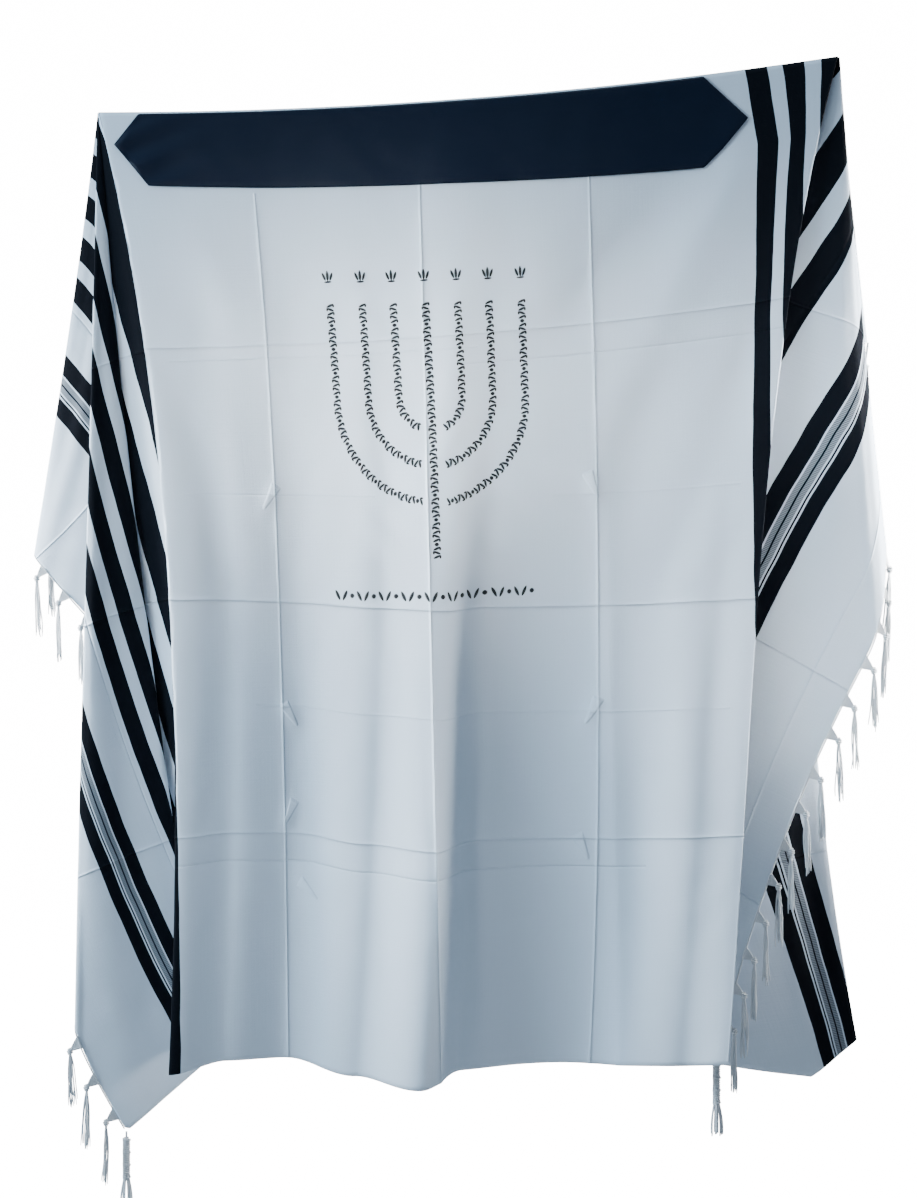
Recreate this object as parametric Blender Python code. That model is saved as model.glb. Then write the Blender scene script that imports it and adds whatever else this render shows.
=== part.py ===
"""Tallit prayer shawl, held up by its top edge at two grips.

Metres, +Z up, the viewer stands at -Y. The origin is the right-hand grip. The shawl is one rectangular
cloth. Flat cloth coordinates are (along, down): along the top edge, away from a grip, and down from it.
Between the grips the cloth hangs as a panel. Outside each grip it falls in folds that all start at the
grip, so a fold is a line of constant flat angle that hangs at an angle of its own.
"""

import math
from collections import namedtuple

import bmesh
import bpy
from mathutils import Vector

# The cloth
CLOTH_HEIGHT = 1.36
PANEL_TOP_LENGTH = 1.0255      # top edge between the grips
LEFT_END_LENGTH = 0.525        # top edge from the left grip to the fringed end
RIGHT_END_LENGTH = 0.390       # top edge from the right grip to the fringed end
WALL = 0.0014                  # cloth thickness
SEAM_GAP = 0.0003

# The grips
RIGHT_GRIP = Vector((0.0, 0.0, 0.0))
LEFT_GRIP = Vector((-1.0193, 0.0, -0.0771))
PINCH = 0.012                  # cloth hidden inside each grip
TOP_EDGE_SAG = 0.019

# The hang is given at three distances from the grip
HANG_STATIONS = (0.0, 0.7, 1.4)
SWELL_POWER = 0.95             # how folds grow deeper with the distance from the grip

# Sampling
ROWS = 20
TOP_ROWS = (0.0, 0.003, 0.024, 0.045, 0.068, 0.092)   # rows that the neck band lies on, as shares of height
BAND_TOP_ROW, BAND_TIP_ROW, BAND_LOW_ROW = 1, 3, 5
PANEL_COLUMNS = 20
BAND_TIPS = (0.015, 0.875)     # shares of the panel's width
BAND_SHOULDERS = (0.062, 0.828)
BAND_THICKNESS = 0.0012
BAND_END_LIFT = 0.0006         # the pointed ends stand off the puckered cloth near the grips

# Fringe
TUFTS_PER_END = 25
TUFT_PITCH = 0.055
FIRST_TUFT = 0.025
LOCKS_PER_TUFT = 3
LOCK_ROOT_WIDTH = 0.0026
LOCK_ROOT_GAP = 0.0006
STRIP_GAP = 0.0008
STRIP_MARGIN = 0.004           # strip left off at the cloth's corners
ROOT_MARGIN = 0.006            # least distance of a tuft from the end of its strip
LEFT_STRIPS = ((None, 24.1), (24.9, 37.6), (39.2, 57.8), (59.6, 73.2), (77.0, None))   # flat angles
RIGHT_STRIPS = ((None, 35.4), (41.6, 61.6), (63.2, None))
STRIP_WIDTH = 0.004
KNOT_REACH = 0.008             # distance of the tuft's middle line from the strip
STEEP_EDGE = -0.5              # an edge that falls faster than this carries its locks side by side outwards
STEEP_SHIFT = 0.0035           # how much farther out those locks stand
LOCK_LENGTH = 0.088
LOCK_SPREAD = 0.0052           # distance between the middle lines of neighbouring locks
LOCK_LEAN = 0.3                # most that a lock leans with the cloth, per unit of drop

# A lock's rings: drop and spread as shares of its length and spread, half width and half depth in metres
LOCK_RINGS = (
    (0.16, 0.62, 0.0013, 0.0016),
    (0.60, 1.00, 0.0021, 0.0020),
    (1.00, 0.95, 0.0013, 0.0012),
)

# Corner tassels
TASSEL_NECK_RADIUS = 0.0012
TASSEL_WOUND_RADIUS = 0.0055
TASSEL_WOUND_LENGTH = 0.052
TASSEL_STRAND_LENGTH = 0.045
TASSEL_STRANDS = 8
TASSEL_OFFSET = {"bottom": 0.0008, "top": 0.0013}   # from the cloth's corner to the start of its tassel
TASSEL_CORD = {"bottom": Vector((0.0, 0.0, -0.031)), "top": Vector((0.0, 0.024, -0.031))}

CREAM = (0.72, 0.77, 0.83)
NAVY = (0.012, 0.022, 0.045)
YARN = (0.86, 0.88, 0.90)

# One row for each turn of the cloth, from the panel outwards. flat and hang are degrees from straight
# down, outwards positive, at HANG_STATIONS. aside and base are millimetres at the grip. back is metres
# behind the grip at the hem. turn is the radius of the rounded turn in millimetres. hem is how far down
# the cloth its hem lies there, in metres, as the weave is stretched a little by its weight.
Fold = namedtuple("Fold", "name flat hang aside base back turn hem")

LEFT_FOLDS = (
    Fold("panel_edge", (0.0, 0.0, 0.6), (-14.3, -8.3, -4.6), 0.0, 0.0, -0.030, 0.0, 1.325),
    Fold("panel_edge_back", (0.5, 0.4, 1.0), (-14.4, -8.4, -4.7), 0.0, 1.8, -0.016, 3.0, 1.325),
    Fold("hidden_valley", (1.9, 3.5, 6.0), (-14.8, -9.4, -8.4), -0.6, 3.2, 0.055, 14.0, 1.330),
    Fold("valley", (9.5, 10.3, 13.6), (-3.4, -5.1, -6.2), 0.8, 4.4, 0.130, 14.0, 1.335),
    Fold("near_ridge", (17.5, 21.4, 24.9), (1.4, 1.8, 1.7), 1.9, 6.9, 0.030, 4.0, 1.335),
    Fold("near_ridge_back", (18.2, 21.9, 25.35), (1.3, 1.7, 1.6), 1.9, 9.5, 0.050, 4.0, 1.335),
    Fold("inner_turn", (38.0, 38.0, 38.0), (-7.5, -7.5, -7.5), -1.5, 10.6, 0.170, 4.0, 1.335),
    Fold("inner_turn_back", (38.8, 38.8, 38.8), (-7.4, -7.4, -7.4), -1.5, 13.2, 0.190, 4.0, 1.335),
    Fold("far_ridge", (83.0, 56.0, 50.0), (8.8, 10.4, 10.4), 3.0, 14.0, 0.230, 4.0, 1.335),
    Fold("far_ridge_back", (83.8, 56.8, 50.8), (8.7, 10.3, 10.3), 3.0, 16.6, 0.255, 4.0, 1.335),
    Fold("last_turn", (86.6, 73.0, 70.0), (-5.0, -5.0, -5.0), -1.5, 18.2, 0.350, 4.0, 1.335),
    Fold("last_turn_back", (87.3, 73.8, 70.8), (-4.9, -4.9, -4.9), -1.5, 21.0, 0.375, 4.0, 1.335),
    Fold("top_edge", (90.0, 90.0, 90.0), (5.0, 5.0, 5.0), 1.0, 23.0, 0.350, 0.0, 1.335),
)

RIGHT_FOLDS = (
    Fold("panel_edge", (-13.3, -9.7, -7.0), (-14.8, -8.9, -6.4), 0.0, 0.0, -0.030, 0.0, 1.383),
    Fold("panel_edge_back", (-12.8, -9.2, -6.6), (-14.9, -9.0, -6.5), 0.0, 2.6, -0.018, 3.0, 1.383),
    Fold("wrap", (-10.4, -6.1, -4.5), (-17.2, -12.0, -8.6), -3.0, 4.0, 0.010, 4.0, 1.378),
    Fold("wrap_back", (-7.4, -2.1, -1.5), (-17.2, -12.0, -8.6), -3.0, 13.0, 0.085, 4.0, 1.372),
    Fold("low_ridge", (1.4, 6.5, 7.0), (-8.2, -3.0, 1.9), 0.5, 14.0, 0.092, 3.0, 1.362),
    Fold("low_ridge_front", (1.9, 7.0, 7.5), (-8.2, -3.0, 1.9), 0.5, 11.2, 0.076, 3.0, 1.362),
    Fold("reverse_middle", (5.5, 10.5, 10.8), (-12.2, -6.9, -1.0), 0.2, 9.8, 0.058, 30.0, 1.398),
    Fold("near_turn", (9.2, 14.2, 14.9), (-16.2, -11.2, -7.6), 0.0, 8.6, 0.042, 3.0, 1.360),
    Fold("near_turn_front", (9.7, 14.7, 15.4), (-16.1, -11.1, -7.5), 0.0, 6.0, 0.022, 3.0, 1.340),
    Fold("near_curl", (19.0, 29.0, 29.0), (2.2, 4.1, 4.1), 2.0, 5.6, -0.018, 25.0, 1.300),
    Fold("near_ridge", (22.5, 36.0, 36.0), (4.6, 5.8, 5.8), 3.0, 6.2, 0.022, 10.0, 1.300),
    Fold("near_ridge_back", (27.0, 41.0, 41.0), (4.0, 5.0, 5.0), 3.0, 17.0, 0.150, 8.0, 1.300),
    Fold("last_turn", (60.0, 62.0, 62.0), (-18.0, -16.0, -16.0), -2.0, 17.6, 0.165, 4.0, 1.300),
    Fold("last_turn_back", (60.8, 62.8, 62.8), (-17.9, -15.9, -15.9), -2.0, 20.4, 0.190, 4.0, 1.300),
    Fold("top_edge", (90.0, 90.0, 90.0), (8.0, 8.0, 8.0), 1.0, 22.0, 0.190, 0.0, 1.300),
)

# The panel's soft waves: share of the cut width, share of the hung width at the hem, shift of the upper
# part towards the right grip, depth at the hem, and how far the hem lies above a straight line.
Wave = namedtuple("Wave", "cut hung upper back lift")

PANEL_WAVES = (
    Wave(0.000, 0.000, 0.000, -0.030, 0.0000),
    Wave(0.117, 0.098, 0.000, 0.002, 0.0115),
    Wave(0.234, 0.201, 0.003, 0.030, 0.0090),
    Wave(0.370, 0.330, 0.006, 0.004, -0.0125),
    Wave(0.480, 0.450, 0.009, -0.038, -0.0260),
    Wave(0.560, 0.530, 0.011, -0.002, -0.0090),
    Wave(0.761, 0.756, 0.014, 0.024, -0.0090),
    Wave(0.920, 0.916, 0.018, -0.012, -0.0040),
    Wave(1.000, 1.000, 0.000, -0.030, 0.0000),
)
UPPER_SHIFT_START = 0.08       # share of the height over which that shift grows


# ---------------------------------------------------------------- where the cloth hangs

def through_stations(values, distance):
    """Value at a distance from the grip, on a parabola through the three stations."""
    start, middle, end = HANG_STATIONS
    top, centre, low = values
    share = distance / end
    half = middle / end
    curve = ((low - top) - (centre - top) / half) / (1.0 - half)
    slope = (low - top) - curve
    return top + slope * share + curve * share * share


def swell(distance):
    """How much of its depth at the hem a fold has at this distance from the grip."""
    return (max(distance, 0.0) / CLOTH_HEIGHT) ** SWELL_POWER


def fold_line(fold, distance):
    """Flat angle, hang angle, sideways shift and depth of a fold at a distance from the grip."""
    return Vector((
        math.radians(through_stations(fold.flat, distance)),
        math.radians(through_stations(fold.hang, distance)),
        fold.aside * 0.001,
        fold.base * 0.001 + fold.back * swell(distance),
    ))


def gap_between(one, other, distance):
    """Distance across the cloth's section between two fold lines."""
    sideways = (other[1] - one[1]) * distance + other[2] - one[2]
    return math.hypot(sideways, other[3] - one[3]) + 1e-6


def rounded_corner(lines, index, folds, distance):
    """Start, corner and end of the rounded turn at a fold."""
    corner = lines[index]
    before, after = lines[index - 1], lines[index + 1]
    radius = folds[index].turn * 0.001
    back_share = min(0.45, radius / gap_between(corner, before, distance))
    front_share = min(0.45, radius / gap_between(corner, after, distance))
    return corner.lerp(before, back_share), corner, corner.lerp(after, front_share)


def on_curve(start, corner, end, share):
    """Point of a quadratic curve."""
    rest = 1.0 - share
    return start * (rest * rest) + corner * (2.0 * rest * share) + end * (share * share)


def share_at_angle(start, corner, end, angle):
    """Share along a quadratic curve at which its flat angle has this value."""
    bend = start[0] - 2.0 * corner[0] + end[0]
    run = 2.0 * (corner[0] - start[0])
    drop = start[0] - angle
    if abs(bend) < 1e-9:
        return -drop / run
    root = math.sqrt(max(0.0, run * run - 4.0 * bend * drop))
    return (-run + root) / (2.0 * bend)


def hung_line(folds, distance, angle):
    """Flat angle, hang angle, shift and depth of the cloth at a distance and flat angle from the grip."""
    lines = [fold_line(fold, distance) for fold in folds]
    last = len(lines) - 1
    for index in range(1, last):
        start, corner, end = rounded_corner(lines, index, folds, distance)
        if start[0] <= angle <= end[0]:
            return on_curve(start, corner, end, share_at_angle(start, corner, end, angle))
    for index in range(last):
        one, other = lines[index], lines[index + 1]
        if angle <= other[0] or index == last - 1:
            return one.lerp(other, (angle - one[0]) / (other[0] - one[0]))
    return lines[last]


class Side:
    """The cloth outside one grip."""

    def __init__(self, grip, outward, end_length, folds):
        self.grip = grip
        self.outward = outward
        self.end_length = end_length
        self.folds = folds

    def at(self, distance, angle):
        """World position of the cloth at a distance and flat angle from the grip."""
        line = hung_line(self.folds, distance, angle)
        sideways = line[2] + distance * math.sin(line[1])
        return self.grip + Vector((self.outward * sideways, line[3], -distance * math.cos(line[1])))

    def at_flat(self, along, down):
        """World position of the cloth at flat coordinates."""
        return self.at(math.hypot(along, down), math.atan2(along, down))

    def fold_angle(self, index, share, distance):
        """Flat angle of a column: a share of the way from one fold to the next."""
        one = math.radians(through_stations(self.folds[index].flat, distance))
        if share == 0.0:
            return one
        other = math.radians(through_stations(self.folds[index + 1].flat, distance))
        return one + (other - one) * share

    def hem_at(self, angle):
        """How far down the cloth its hem lies at a flat angle."""
        last = len(self.folds) - 2
        for index in range(last + 1):
            one, other = (math.radians(self.folds[k].flat[2]) for k in (index, index + 1))
            if angle <= other or index == last:
                share = max(0.0, min(1.0, (angle - one) / (other - one)))
                return self.folds[index].hem * (1.0 - share) + self.folds[index + 1].hem * share
        return CLOTH_HEIGHT

    def reach(self, index, share):
        """Distance from the grip to the cloth's edge along a column."""
        distance = CLOTH_HEIGHT
        for _ in range(30):
            angle = self.fold_angle(index, share, distance)
            hem = self.hem_at(angle) / max(math.cos(angle), 1e-6)
            end = self.end_length / math.sin(angle) if angle > 1e-6 else hem
            distance = 0.5 * distance + 0.5 * min(hem, end)
        return distance

    def end_height(self):
        """Length of the fringed end, from the top edge to the lower corner."""
        height = CLOTH_HEIGHT
        for _ in range(20):
            height = self.hem_at(math.atan2(self.end_length, height))
        return height

    def corner_share(self, index):
        """Share between a fold and the next at which the cloth's lower corner lies."""
        distance = math.hypot(self.end_length, self.end_height())
        corner = math.atan2(self.end_length, self.end_height())
        one = self.fold_angle(index, 0.0, distance)
        other = self.fold_angle(index + 1, 0.0, distance)
        return (corner - one) / (other - one)

    def column(self, index, share, heights):
        """Points of the cloth down one column."""
        reach = self.reach(index, share)
        points = []
        for height in heights:
            distance = PINCH + height * (reach - PINCH)
            points.append(self.at(distance, self.fold_angle(index, share, distance)))
        return points


LEFT = Side(LEFT_GRIP, -1.0, LEFT_END_LENGTH, LEFT_FOLDS)
RIGHT = Side(RIGHT_GRIP, 1.0, RIGHT_END_LENGTH, RIGHT_FOLDS)


def between_waves(share, column):
    """A wave column's value at a share of the cut width, eased from row to row."""
    for one, other in zip(PANEL_WAVES, PANEL_WAVES[1:]):
        if share <= other.cut:
            ease = (share - one.cut) / (other.cut - one.cut)
            if column != "hung":
                ease = ease * ease * (3.0 - 2.0 * ease)
            return getattr(one, column) * (1.0 - ease) + getattr(other, column) * ease
    return getattr(PANEL_WAVES[-1], column)


def panel_point(share, height):
    """World position on the panel at a share of its cut width and of its height."""
    left = LEFT.at(height * LEFT.reach(0, 0.0), 0.0)
    reach = RIGHT.reach(0, 0.0)
    right = RIGHT.at(height * reach, RIGHT.fold_angle(0, 0.0, height * reach))
    upper = min(1.0, height / UPPER_SHIFT_START) * (1.0 - height)
    hung = share + (between_waves(share, "hung") - share) * height + between_waves(share, "upper") * upper
    point = left.lerp(right, hung)
    sag = TOP_EDGE_SAG * 4.0 * share * (1.0 - share)
    point.z += between_waves(share, "lift") * height ** 2 - sag * (1.0 - height)
    point.y = between_waves(share, "back") * swell(height * CLOTH_HEIGHT)
    return point


# ---------------------------------------------------------------- walls

def grid_normals(columns):
    """Normal of each point of a grid of columns, mitred so that a wall keeps its thickness at a fold."""
    count, rows = len(columns), len(columns[0])
    normals = []
    for i in range(count):
        line = []
        for j in range(rows):
            above, below = columns[i][max(j - 1, 0)], columns[i][min(j + 1, rows - 1)]
            down = below - above
            faces = []
            if i > 0:
                faces.append((columns[i][j] - columns[i - 1][j]).cross(down).normalized())
            if i < count - 1:
                faces.append((columns[i + 1][j] - columns[i][j]).cross(down).normalized())
            total = faces[0] + faces[-1]
            spread = max(0.35, 1.0 + faces[0].dot(faces[-1]))
            line.append(total / spread)
        normals.append(line)
    return normals


def close_wall(name, outer, inner, faces, colour, roughness):
    """Object of a closed wall between two skins that share their faces."""
    work = bmesh.new()
    front = [work.verts.new(point) for point in outer]
    back = [work.verts.new(point) for point in inner]
    edges = {}
    for face in faces:
        work.faces.new([front[k] for k in face])
        work.faces.new([back[k] for k in reversed(face)])
        for one, other in zip(face, face[1:] + face[:1]):
            edges[(one, other)] = True
    for one, other in edges:
        if (other, one) not in edges:
            work.faces.new((front[other], front[one], back[one], back[other]))
    bmesh.ops.recalc_face_normals(work, faces=work.faces)
    return finish_mesh(name, work, colour, roughness)


def finish_mesh(name, work, colour, roughness):
    """Object with its own material made from a bmesh."""
    mesh = bpy.data.meshes.new(name)
    work.to_mesh(mesh)
    work.free()
    mesh.shade_smooth()
    mesh.set_sharp_from_angle(angle=math.radians(60.0))
    material = bpy.data.materials.new(name + "_finish")
    material.use_nodes = True
    shader = material.node_tree.nodes["Principled BSDF"]
    shader.inputs["Base Color"].default_value = (*colour, 1.0)
    shader.inputs["Roughness"].default_value = roughness
    shader.inputs["Metallic"].default_value = 0.0
    mesh.materials.append(material)
    part = bpy.data.objects.new(name, mesh)
    COLLECTION.objects.link(part)
    return part


def grid_faces(columns, rows):
    """Quads of a grid whose points are numbered column by column."""
    return [
        [i * rows + j, (i + 1) * rows + j, (i + 1) * rows + j + 1, i * rows + j + 1]
        for i in range(columns - 1)
        for j in range(rows - 1)
    ]


def cloth_piece(name, columns, normals, first, last, colour=CREAM):
    """Wall of the cloth between two columns of the whole grid, parted from its neighbours."""
    outer, inner = [], []
    for i in range(first, last + 1):
        for j, point in enumerate(columns[i]):
            offset = normals[i][j] * (WALL / 2.0)
            shift = Vector()
            if i == first and first > 0:
                shift = (columns[i + 1][j] - point).normalized() * (SEAM_GAP / 2.0)
            if i == last and last < len(columns) - 1:
                shift = (columns[i - 1][j] - point).normalized() * (SEAM_GAP / 2.0)
            outer.append(point + offset + shift)
            inner.append(point - offset + shift)
    faces = grid_faces(last - first + 1, len(columns[0]))
    return close_wall(name, outer, inner, faces, colour, 0.85)


# ---------------------------------------------------------------- the whole cloth

def row_heights():
    """Shares of the height at which the cloth has a row of points."""
    start = TOP_ROWS[-1]
    steps = ROWS - len(TOP_ROWS) + 1
    rest = [start + (1.0 - start) * (k / steps) for k in range(1, steps + 1)]
    return list(TOP_ROWS) + rest


def side_stops(side, samples, corner_index):
    """Columns of one side, from the panel outwards, as fold index and share."""
    stops = []
    for index, count in enumerate(samples):
        shares = [k / count for k in range(count)]
        if index == corner_index:
            corner = side.corner_share(index)
            shares = [share for share in shares if abs(share - corner) > 0.3 / count]
            shares = sorted(shares + [corner])
        stops += [(index, share) for share in shares]
    stops.append((len(samples) - 1, 1.0))
    return stops


LEFT_SAMPLES = (1, 2, 2, 4, 1, 4, 1, 6, 1, 4, 1, 3)
RIGHT_SAMPLES = (1, 1, 2, 3, 1, 2, 2, 1, 9, 4, 3, 4, 1, 5)


def panel_shares():
    """Shares of the panel's width at which it has a column, ends left out."""
    low, high = BAND_SHOULDERS
    inner = [low + (high - low) * k / (PANEL_COLUMNS - 4) for k in range(PANEL_COLUMNS - 3)]
    return [BAND_TIPS[0]] + inner + [BAND_TIPS[1], 0.94]


def whole_cloth():
    """Columns of the whole cloth from its left free edge to its right one, and where stretches part."""
    heights = row_heights()
    left_stops = side_stops(LEFT, LEFT_SAMPLES, 3)
    right_stops = side_stops(RIGHT, RIGHT_SAMPLES, 8)
    left = [LEFT.column(index, share, heights) for index, share in reversed(left_stops)]
    right = [RIGHT.column(index, share, heights) for index, share in right_stops]
    panel = [[panel_point(share, height) for height in heights] for share in panel_shares()]
    parting = {}
    for place, (index, share) in enumerate(reversed(left_stops)):
        if share == 0.0:
            parting["left_" + LEFT.folds[index].name] = place
    offset = len(left) + len(panel)
    for place, (index, share) in enumerate(right_stops):
        if share == 0.0:
            parting["right_" + RIGHT.folds[index].name] = offset + place
    return left + panel + right, parting


def build_cloth():
    """All stretches of the cloth, and the band on its panel."""
    columns, parting = whole_cloth()
    normals = grid_normals(columns)
    stretches = (
        ("left_tail_fall", None, "left_far_ridge_back"),
        ("left_far_fall", "left_far_ridge_back", "left_near_ridge_back"),
        ("left_near_fall", "left_near_ridge_back", "left_panel_edge"),
        ("centre_panel", "left_panel_edge", "right_panel_edge"),
        ("right_inner_fall", "right_panel_edge", "right_low_ridge"),
        ("right_turned_fall", "right_low_ridge", "right_near_turn"),
        ("right_near_fall", "right_near_turn", "right_near_ridge"),
        ("right_tail_fall", "right_near_ridge", None),
    )
    for name, start, end in stretches:
        first = parting[start] if start else 0
        last = parting[end] if end else len(columns) - 1
        cloth_piece(name, columns, normals, first, last)
    build_band(columns, normals, parting["left_panel_edge"])


def build_band(columns, normals, panel_start):
    """Neck band: a strip with pointed ends that lies on the panel's front."""
    shares = panel_shares()
    low = panel_start + 1 + shares.index(BAND_SHOULDERS[0])
    high = panel_start + 1 + min(range(len(shares)), key=lambda k: abs(shares[k] - BAND_SHOULDERS[1]))
    rows = range(BAND_TOP_ROW, BAND_LOW_ROW + 1)
    places = [(i, j) for i in range(low, high + 1) for j in rows]
    faces = grid_faces(high - low + 1, len(rows))
    for column, edge in ((low - 1, low), (high + 1, high)):
        places.append((column, BAND_TIP_ROW))
        tip = len(places) - 1
        start = (edge - low) * len(rows)
        for j in range(len(rows) - 1):
            triangle = [tip, start + j, start + j + 1]
            faces.append(triangle if edge == low else triangle[::-1])
    outer, inner = [], []
    for i, j in places:
        near = WALL / 2.0 + SEAM_GAP
        if not low < i < high:
            near += BAND_END_LIFT
        forward = normals[i][j]
        if forward.y > 0.0:
            forward = -forward
        outer.append(columns[i][j] + forward * (near + BAND_THICKNESS))
        inner.append(columns[i][j] + forward * near)
    close_wall("neck_band", outer, inner, faces, NAVY, 0.45)


# ---------------------------------------------------------------- fringe

def fringe_frame(side, down):
    """Edge point of the cloth's end at a distance down it, with its outward, edge and normal directions."""
    edge = side.at_flat(side.end_length, down)
    outward = (side.at_flat(side.end_length + 0.004, down) - edge).normalized()
    along = (side.at_flat(side.end_length, down + 0.002) - side.at_flat(side.end_length, down - 0.002))
    along.normalize()
    normal = outward.cross(along).normalized()
    return edge, outward, along, normal


def strip_stops(first, last):
    """Distances down the end at which the strip has a section, each with the lock that grows after it."""
    stops = [(first, None)]
    width = LOCKS_PER_TUFT * LOCK_ROOT_WIDTH + (LOCKS_PER_TUFT - 1) * LOCK_ROOT_GAP
    for tuft in range(TUFTS_PER_END):
        centre = FIRST_TUFT + tuft * TUFT_PITCH
        if not first + ROOT_MARGIN < centre < last - ROOT_MARGIN:
            continue
        start = centre - width / 2.0
        for lock in range(LOCKS_PER_TUFT):
            root = start + lock * (LOCK_ROOT_WIDTH + LOCK_ROOT_GAP)
            stops.append((root, (centre, lock)))
            stops.append((root + LOCK_ROOT_WIDTH, None))
    stops.append((last, None))
    return stops


def level_direction(outward, along):
    """Level direction in which the locks of a tuft stand side by side."""
    level = Vector((outward.x, outward.y, 0.0))
    if level.length < 0.2:
        level = Vector((-along.x, -along.y, 0.0))
    return level.normalized()


def cloth_lean(side, edge, down):
    """How far the cloth's end falls backwards for each metre that it falls."""
    slope = side.at_flat(side.end_length + 0.02, down) - edge
    lean = slope.y / max(0.004, abs(slope.z) + abs(slope.x))
    return max(-LOCK_LEAN, min(LOCK_LEAN, lean))


def grow_lock(work, side, face, centre, lock):
    """Lengthen one outer face of the strip into a lock that hangs straight down."""
    edge, outward, along, normal = fringe_frame(side, centre)
    level = level_direction(outward, along)
    across = Vector((-level.y, level.x, 0.0))
    if across.dot(normal) < 0.0:
        across = -across
    steep = along.z < STEEP_EDGE
    order = -1.0 if steep or along.dot(level) <= 0.0 else 1.0
    sideways = order * (lock - (LOCKS_PER_TUFT - 1) / 2.0)
    lean = cloth_lean(side, edge, centre)
    previous = list(face.verts)
    root = sum((vert.co for vert in previous), Vector()) / len(previous)
    arms = [vert.co - root for vert in previous]
    signs = [
        (math.copysign(1.0, arm.dot(along) * order), math.copysign(1.0, arm.dot(normal)))
        for arm in arms
    ]
    knot = edge + outward * (STRIP_WIDTH + KNOT_REACH)
    if steep:
        knot += level * STEEP_SHIFT
    work.faces.remove(face)
    for drop_share, spread_share, half_width, half_depth in LOCK_RINGS:
        drop = LOCK_LENGTH * drop_share
        spread = LOCK_SPREAD * spread_share * sideways
        middle = knot + level * spread + Vector((0.0, lean * drop, -drop))
        ring = [
            work.verts.new(middle + level * (wide * half_width) + across * (deep * half_depth))
            for wide, deep in signs
        ]
        for k in range(4):
            m = (k + 1) % 4
            work.faces.new((previous[k], previous[m], ring[m], ring[k]))
        previous = ring
    work.faces.new(previous)


def build_fringe(name, side, first, last):
    """A narrow strip past the cloth's end, with the locks of its tufts fused to it."""
    work = bmesh.new()
    stops = strip_stops(first, last)
    rings = []
    for down, _ in stops:
        edge, outward, along, normal = fringe_frame(side, down)
        near, far = STRIP_GAP, STRIP_GAP + STRIP_WIDTH
        half = WALL / 2.0
        rings.append([
            work.verts.new(edge + outward * near + normal * half),
            work.verts.new(edge + outward * far + normal * half),
            work.verts.new(edge + outward * far - normal * half),
            work.verts.new(edge + outward * near - normal * half),
        ])
    roots = []
    for place in range(len(rings) - 1):
        one, other = rings[place], rings[place + 1]
        for k in range(4):
            m = (k + 1) % 4
            face = work.faces.new((one[k], one[m], other[m], other[k]))
            if k == 1 and stops[place][1]:
                roots.append((face, stops[place][1]))
    work.faces.new(rings[0][::-1])
    work.faces.new(rings[-1])
    for face, (centre, lock) in roots:
        grow_lock(work, side, face, centre, lock)
    bmesh.ops.recalc_face_normals(work, faces=work.faces)
    finish_mesh(name, work, YARN, 0.8)


def end_at_angle(side, degrees):
    """Distance down the fringed end at a flat angle from the grip."""
    return side.end_length / math.tan(math.radians(degrees))


def build_fringes():
    """Fringe strips, one for each stretch of the two ends."""
    for label, side, angles in (("left", LEFT, LEFT_STRIPS), ("right", RIGHT, RIGHT_STRIPS)):
        for number, (low_angle, high_angle) in enumerate(angles, start=1):
            last = end_at_angle(side, low_angle) if low_angle else side.end_height() - STRIP_MARGIN
            first = end_at_angle(side, high_angle) if high_angle else STRIP_MARGIN
            build_fringe(label + "_fringe_" + str(number), side, first, last)


# ---------------------------------------------------------------- corner tassels

def tassel_ring(work, centre, radius):
    """Ring of points round a tassel."""
    ring = []
    for k in range(TASSEL_STRANDS):
        turn = 2.0 * math.pi * (k + 0.5) / TASSEL_STRANDS
        ring.append(work.verts.new(centre + Vector((math.cos(turn), math.sin(turn), 0.0)) * radius))
    return ring


def build_tassel(name, start, hang):
    """Wound corner tassel: neck, wound shank, and strands that grow from its end."""
    work = bmesh.new()
    knot = start + hang
    end = knot + Vector((0.0, 0.0, -TASSEL_WOUND_LENGTH))
    stations = (
        (start, TASSEL_NECK_RADIUS),
        (start.lerp(knot, 0.8), TASSEL_NECK_RADIUS),
        (knot, TASSEL_WOUND_RADIUS),
        (end, TASSEL_WOUND_RADIUS * 0.9),
    )
    rings = [tassel_ring(work, centre, radius) for centre, radius in stations]
    for one, other in zip(rings, rings[1:]):
        for k in range(TASSEL_STRANDS):
            m = (k + 1) % TASSEL_STRANDS
            work.faces.new((one[k], one[m], other[m], other[k]))
    work.faces.new(rings[0][::-1])
    core = tassel_ring(work, end, TASSEL_WOUND_RADIUS * 0.4)
    work.faces.new(core)
    for k in range(TASSEL_STRANDS):
        m = (k + 1) % TASSEL_STRANDS
        root = [rings[-1][k], rings[-1][m], core[m], core[k]]
        middle = sum((vert.co for vert in root), Vector()) / 4.0
        spread = (middle - end) * 0.9
        drop = Vector((0.0, 0.0, -TASSEL_STRAND_LENGTH * (1.0 - 0.06 * (k % 3))))
        previous = root
        for share in (0.3, 1.0):
            centre = middle + spread * share + drop * share
            ring = [work.verts.new(centre + (vert.co - middle) * 0.72) for vert in root]
            for a in range(4):
                b = (a + 1) % 4
                work.faces.new((previous[a], previous[b], ring[b], ring[a]))
            previous = ring
        work.faces.new(previous)
    bmesh.ops.recalc_face_normals(work, faces=work.faces)
    finish_mesh(name, work, YARN, 0.7)


def build_tassels():
    """The four corner tassels, each tied at a corner of the cloth."""
    for label, side in (("left", LEFT), ("right", RIGHT)):
        for place, down, onward in (("bottom", side.end_height(), 1.0), ("top", 0.0, -1.0)):
            corner = side.at_flat(side.end_length, down)
            _, outward, along, _ = fringe_frame(side, down - onward * STRIP_MARGIN)
            start = corner + (outward + along * onward).normalized() * TASSEL_OFFSET[place]
            build_tassel(label + "_" + place + "_tassel", start, TASSEL_CORD[place])


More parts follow.
